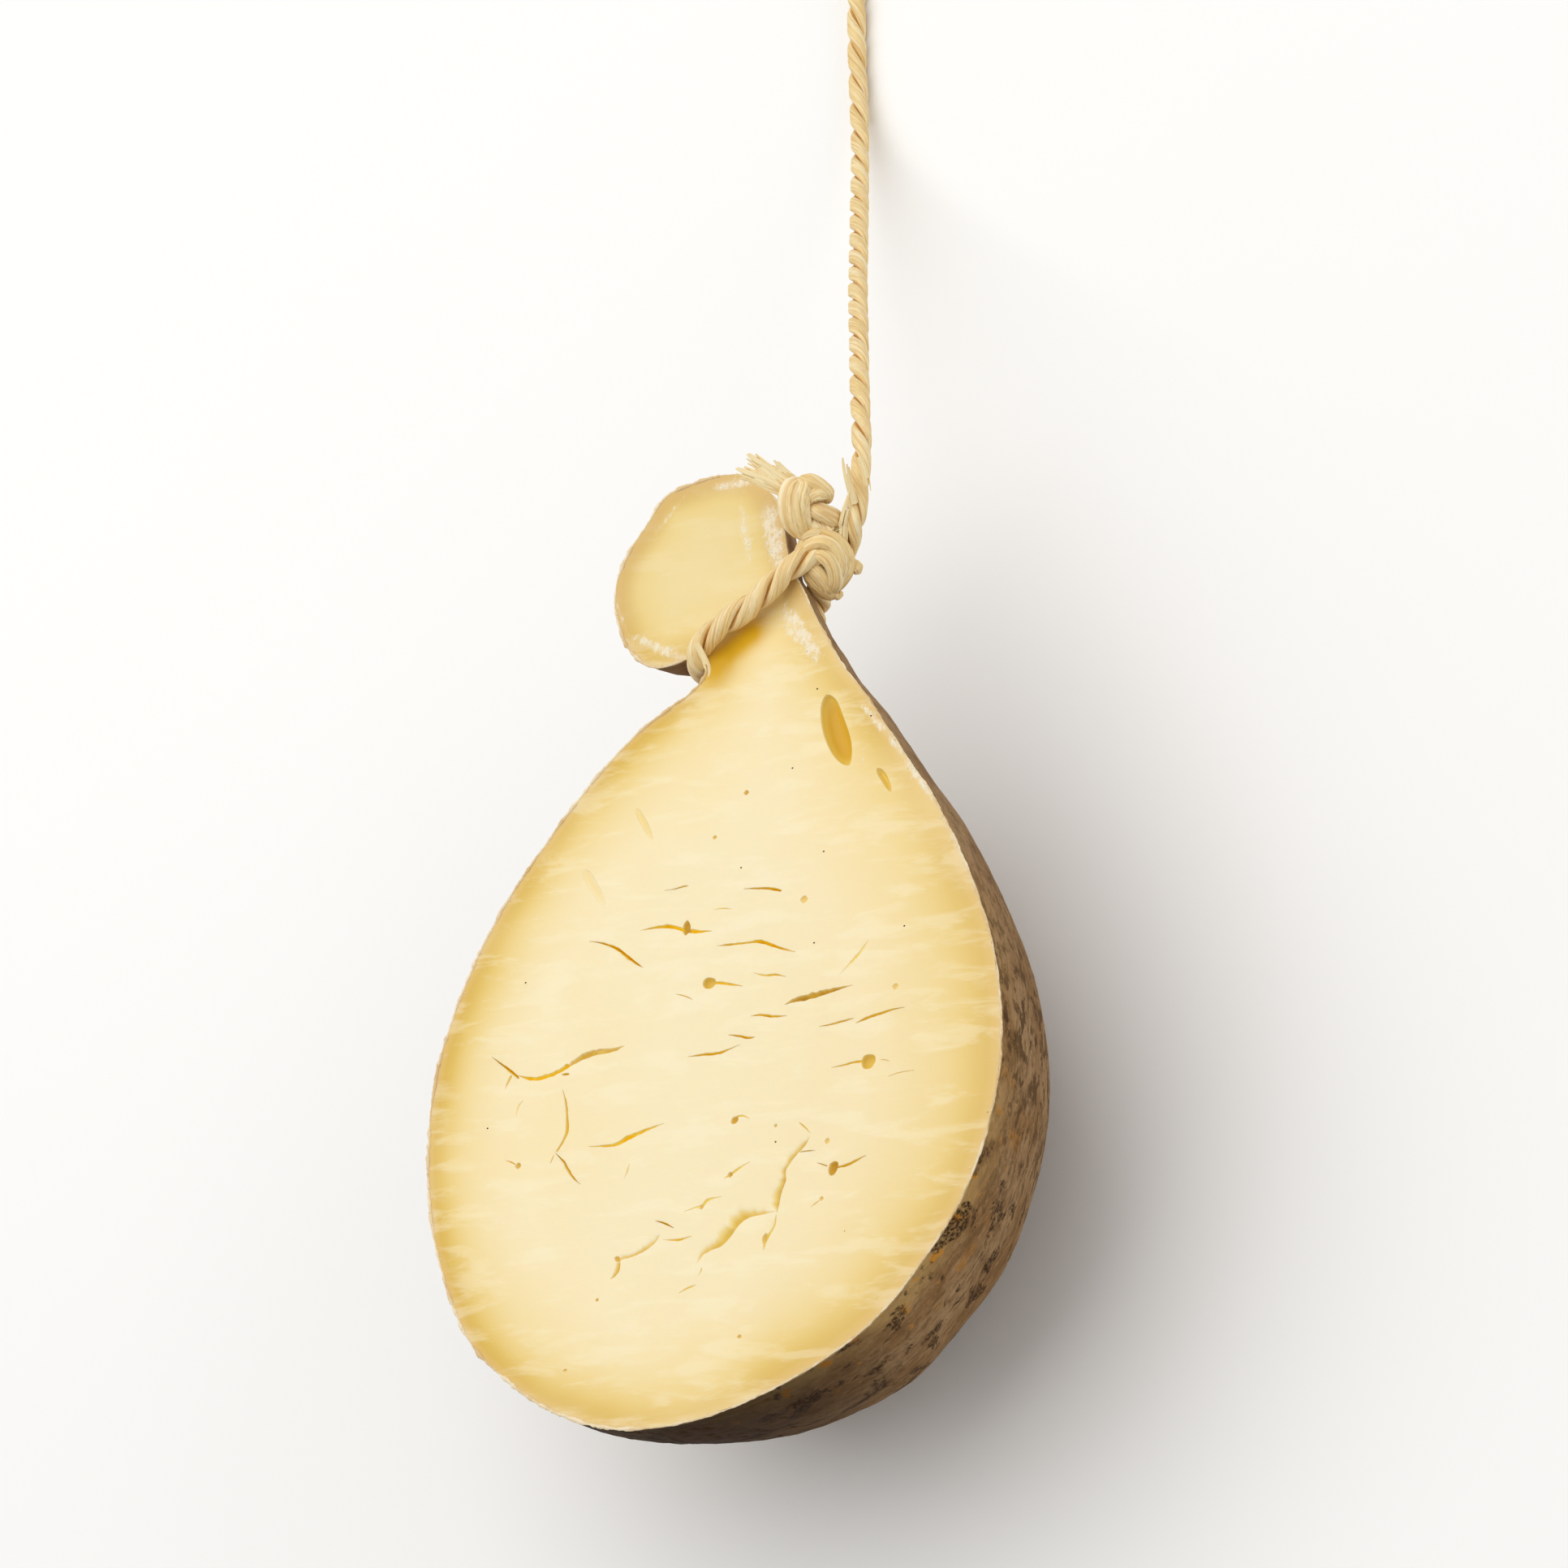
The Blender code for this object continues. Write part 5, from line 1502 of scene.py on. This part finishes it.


# %% [markdown]
# ## Rind
#
# The rind is grey-brown, streaked lengthwise where it stretched. It is smooth by the neck,
# mottled at its widest, and blotched with dark mould further down, where beige and orange
# patches lie along the cut edge. The bottom is painted darkest: painted shade, for the end that
# faces down when the cheese hangs.

# %% Rind finish
def make_rind():
    material, tree, surface = new_finish("rind", Specular_IOR_Level=0.03)
    place = object_place(tree)
    y = separate(tree, place)[1]
    below = attribute(tree, "below")
    flow = combine(tree, attribute(tree, "crosswise"), attribute(tree, "lengthwise"))
    streaks = cloud(tree, stretched(tree, flow, (1.0, 0.3, 1.0)), 750.0, 5.0, 0.66)
    hairs = cloud(tree, stretched(tree, flow, (1.0, 0.35, 1.0)), 2400.0, 3.0, 0.6)
    patches = cloud(tree, stretched(tree, flow, (1.0, 0.6, 1.0)), 75.0, 4.0, 0.55)
    mottle = cloud(tree, stretched(tree, flow, (1.0, 0.5, 1.0)), 320.0, 6.0, 0.7)
    mould = cloud(tree, stretched(tree, flow, (1.0, 0.8, 1.0)), 125.0, 4.0, 0.6, 0.5)
    specks = cloud(tree, flow, 1100.0, 3.0, 0.65)
    lower = 1.0 - rise(tree, y, -0.030, 0.010)
    waist = band(tree, y, -0.045, 0.010, 0.062)
    bottom = 1.0 - rise(tree, y, -0.074, -0.048)

    near_edge = 1.0 - rise(tree, below, 1.0, 11.0)
    tan = near_edge * rise(tree, patches, 0.36, 0.56) * (0.25 + lower * 0.75)
    blotches = rise(tree, cloud(tree, flow, 190.0, 3.0), 0.58, 0.66)
    orange = (1.0 - rise(tree, below, 5.0, 20.0)) * blotches * lower
    speckled = 0.35 + rise(tree, specks, 0.42, 0.56) * 0.65
    colour = mix(tree, rise(tree, patches, 0.38, 0.62), shade(141, 106, 67), shade(161, 129, 92))
    colour = glazed(tree, colour,
                    (rise(tree, streaks, 0.48, 0.62) * 0.5, (98, 70, 40)),
                    (rise(tree, streaks, 0.44, 0.3) * 0.45, (184, 154, 114)),
                    (rise(tree, hairs, 0.5, 0.72) * 0.35, (88, 62, 36)),
                    (rise(tree, mottle, 0.50, 0.57) * (0.25 + waist * 0.6), (76, 52, 28)),
                    (tan * 0.65, (188, 152, 92)),
                    (orange * 0.85, (196, 130, 40)),
                    (rise(tree, mould, 0.54, 0.59) * speckled * lower * 0.95, (58, 38, 20)),
                    (rise(tree, specks, 0.66, 0.72) * (0.25 + lower * 0.5), (52, 34, 20)),
                    # Painted shade: the bottom end darkest, as it faces down when the cheese hangs.
                    (bottom * 0.9, (36, 17, 3)),
                    ((1.0 - rise(tree, below, 0.15, 0.9)) * 0.75, (214, 188, 142)))

    height = streaks * 0.5 + hairs * 0.25 + mottle * 0.5 + specks * 0.25
    connect(tree, surface, colour=colour, roughness=0.50 + patches * 0.25, height=height,
            relief=0.0005)
    return material


# %% [markdown]
# ## The dressed half
#
# The skin is made, all the cracks and eyes are cut out of it at once, and only then do its points
# move, so that the relief runs over the cut edges too. A cut makes new points, so every point
# asks the nearest one of the uncut skin how far along the cheese and how far round it lies.

# %% Cut and shape the cheese
PASTE = make_paste("paste", IN_NARROW_CRACKS)
HOLLOW = make_paste("hollow", IN_WIDE_HOLLOWS)
SPECK = make_speck()
RIND = make_rind()


def make_cheese():
    mesh, outline, flow = make_cheese_mesh(PASTE, RIND)
    flow_tree = kdtree.KDTree(len(mesh.vertices))
    for vertex in mesh.vertices:
        flow_tree.insert(vertex.co, vertex.index)
    flow_tree.balance()
    cheese = link("cheese", mesh)
    cutters = [crack_cutter(depth, points, PASTE, HOLLOW) for depth, points in CRACKS]
    cutters += [eye_cutter(depth, points, HOLLOW) for depth, points in EYES]
    cutters += [pin_cutter(x, y, SPECK) for x, y in PIN_HOLES]
    before = len(mesh.polygons)
    cut(cheese, cutters)
    print("cheese:", before, "faces before the cracks,", len(cheese.data.polygons), "after")
    relieve(cheese.data, outline, flow_tree, flow)
    cheese.data.shade_smooth()
    cheese.data.set_sharp_from_angle(angle=math.radians(38.0))
    return cheese, outline


cheese, OUTLINE = make_cheese()
wear(cheese, "cheese", "cheese_half")

# %% [markdown]
# ## The cut edge of the rind
#
# Seen from above, the rind's cut edge is a thin pale line round the paste, ragged and a little
# proud of it, broader on the left than on the right. It is a thin rib swept round the outline.
# Noise moves it in and out and makes it thick and thin.

# %% Rind edge
CRUST_WANDER = 0.8 * MM
CRUST_BUMPS = 0.14 * MM
CRUST_SIDES = 7
# Half the thickness of the edge on either side of the face.
CRUST_RIGHT, CRUST_LEFT = 0.24, 0.46


def crust_tree():
    tree, given, keys = start_tree("crust", {"Step": "Float", "Material": "Material"})
    wander = cloud(tree, position(tree), 260.0, 4.0, 0.6) - 0.5
    line = moved(tree, even_line(tree, given),
                 stored(tree, "outward", vector=True) * wander * CRUST_WANDER)
    uneven = rise(tree, cloud(tree, position(tree), 330.0, 4.0, 0.65), 0.36, 0.72)
    line = store(tree, line, size=stored(tree, "wide") * (0.4 + uneven))
    ring = circle(tree, CRUST_SIDES, 1.0)
    mesh = sweep(tree, line, ring, stored(tree, "size"), capped=False)
    bumps = cloud(tree, position(tree), 1600.0, 2.0) - 0.5
    mesh = moved(tree, mesh, tree.node("GeometryNodeInputNormal") * bumps * CRUST_BUMPS)
    end_tree(tree, mesh, given["Material"])
    return tree, keys


def make_crust_finish():
    material, tree, surface = new_finish("crust", Specular_IOR_Level=0.3)
    place = object_place(tree)
    coarse, fine = cloud(tree, place, 90.0, 3.0), cloud(tree, place, 900.0, 4.0, 0.65)
    colour = mix(tree, rise(tree, coarse, 0.35, 0.62), shade(222, 190, 136), shade(242, 224, 188))
    colour = glazed(tree, colour,
                    (rise(tree, fine, 0.52, 0.72) * 0.4, (196, 156, 100)),
                    (rise(tree, fine, 0.45, 0.3) * 0.5, (250, 240, 218)))
    connect(tree, surface, colour=colour, roughness=0.6 + fine * 0.2, height=fine, relief=0.00012)
    return material


def make_rind_edge():
    count = len(OUTLINE)
    path, outward, sizes = [], [], []
    for k in range(count):
        along = Vector(OUTLINE[(k + 1) % count] - OUTLINE[k - 1]).normalized()
        outward.append(Vector((along.y, -along.x, 0.0)))
        path.append(Vector((*OUTLINE[k], CUT_HEIGHT - 0.12)) * MM)
        sizes.append((CRUST_RIGHT if along.y > 0.0 else CRUST_LEFT) * MM)
    guide = guide_mesh("rind_edge", [(path, outward, sizes, sizes, True)])
    return grow("rind_edge", guide, crust_tree(), {"Step": 0.45 * MM, "Material": CRUST})


CRUST = make_crust_finish()
rind_edge = make_rind_edge()
wear(rind_edge, "cheese")

# %% [markdown]
# ## Crumbs of bloom
#
# The white bloom is made of crystals and crumbs that stand on the paste. Geometry Nodes
# scatters small flat chips over the face, as densely as the bloom number says, and each one gets
# its own size and turn. A few more lie along the rim.

# %% Crumbs
CRUMB_RAGGEDNESS = 0.16 * MM


def crumb_tree():
    tree, given, keys = start_tree("crumbs", {
        "Density": "Float", "Smallest": "Float", "Largest": "Float", "Seed": "Int",
        "Material": "Material"})
    density = given["Density"] * stored(tree, "scatter")
    scatter = tree.node("GeometryNodeDistributePointsOnFaces", {"distribute_method": "RANDOM"},
                        {"Mesh": given["Geometry"], "Density": density, "Seed": given["Seed"]})
    bare = function(tree, "LESS_THAN", flakes(tree, position(tree)), 0.52)
    scatter = tree.node("GeometryNodeDeleteGeometry", {"domain": "POINT"},
                        {"Geometry": scatter, "Selection": bare})
    chip = tree.node("GeometryNodeMeshIcoSphere", None, {"Radius": 0.5, "Subdivisions": 1})
    number = tree.node("GeometryNodeInputIndex")
    size = draw(tree, 0.0, 1.0, number, given["Seed"] + 1) ** 2.5
    size = given["Smallest"] + size * (given["Largest"] - given["Smallest"])
    flat = draw(tree, 0.3, 0.8, number, given["Seed"] + 2)
    slim = draw(tree, 0.5, 1.0, number, given["Seed"] + 3)
    shape = combine(tree, size, size * slim, size * flat)
    lean = [draw(tree, -0.5, 0.5, number, given["Seed"] + k) for k in (4, 5)]
    turn = combine(tree, *lean, draw(tree, 0.0, 6.3, number, given["Seed"] + 6))
    placed = tree.node("GeometryNodeInstanceOnPoints", None,
                       {"Points": scatter, "Instance": chip, "Rotation": turn, "Scale": shape})
    real = tree.node("GeometryNodeRealizeInstances", None, {"Geometry": placed})
    ragged = tree.node("ShaderNodeTexNoise", None,
                       {"Vector": position(tree), "Scale": 5200.0}, out="Color")
    end_tree(tree, moved(tree, real, (ragged - 0.5) * CRUMB_RAGGEDNESS), given["Material"])
    return tree, keys


def make_crumb_finish():
    material, tree, surface = new_finish("bloom", Specular_IOR_Level=0.3, Roughness=0.6,
                                         Subsurface_Weight=0.3, Subsurface_Scale=0.001)
    place = object_place(tree)
    tint = cloud(tree, place, 700.0, 2.0)
    white = mix(tree, rise(tree, tint, 0.35, 0.65), shade(236, 216, 170), shade(249, 240, 218))
    connect(tree, surface, colour=white)
    return material


def face_with_scatter(name, scatter_of):
    """The top of the cheese, with a number on each point that says how dense the crumbs lie."""
    bm = bmesh.new()
    bm.from_mesh(cheese.data)
    lowest = (CUT_HEIGHT - 2 * NECK_DENT) * MM
    for face in bm.faces[:]:
        if face.normal.z < 0.6 or min(corner.co.z for corner in face.verts) < lowest:
            bm.faces.remove(face)
    mesh = mesh_from(bm, name)
    bloom, from_rim = (np.empty(len(mesh.vertices), np.float32) for i in range(2))
    mesh.attributes["bloom"].data.foreach_get("value", bloom)
    mesh.attributes["from_rim"].data.foreach_get("value", from_rim)
    keep(mesh, scatter=scatter_of(bloom, from_rim))
    return mesh


def make_crumbs():
    on_bloom = face_with_scatter(
        "bloom_crumbs", lambda bloom, rim: np.clip(bloom - 0.3, 0, 1) ** 1.5)
    bloom_crumbs = grow("bloom_crumbs", on_bloom, CRUMBS, {
        "Density": 9.0e6, "Smallest": 0.09 * MM, "Largest": 0.5 * MM, "Seed": 3,
        "Material": BLOOM_WHITE})
    on_rim = face_with_scatter("rim_crumbs", lambda bloom, rim: np.exp(-(rim / 0.5) ** 2))
    rim_crumbs = grow("rim_crumbs", on_rim, CRUMBS, {
        "Density": 1.1e6, "Smallest": 0.1 * MM, "Largest": 0.6 * MM, "Seed": 9, "Material": CRUST})
    return bloom_crumbs, rim_crumbs


CRUMBS = crumb_tree()
BLOOM_WHITE = make_crumb_finish()
for crumbs in make_crumbs():
    wear(crumbs, "cheese")
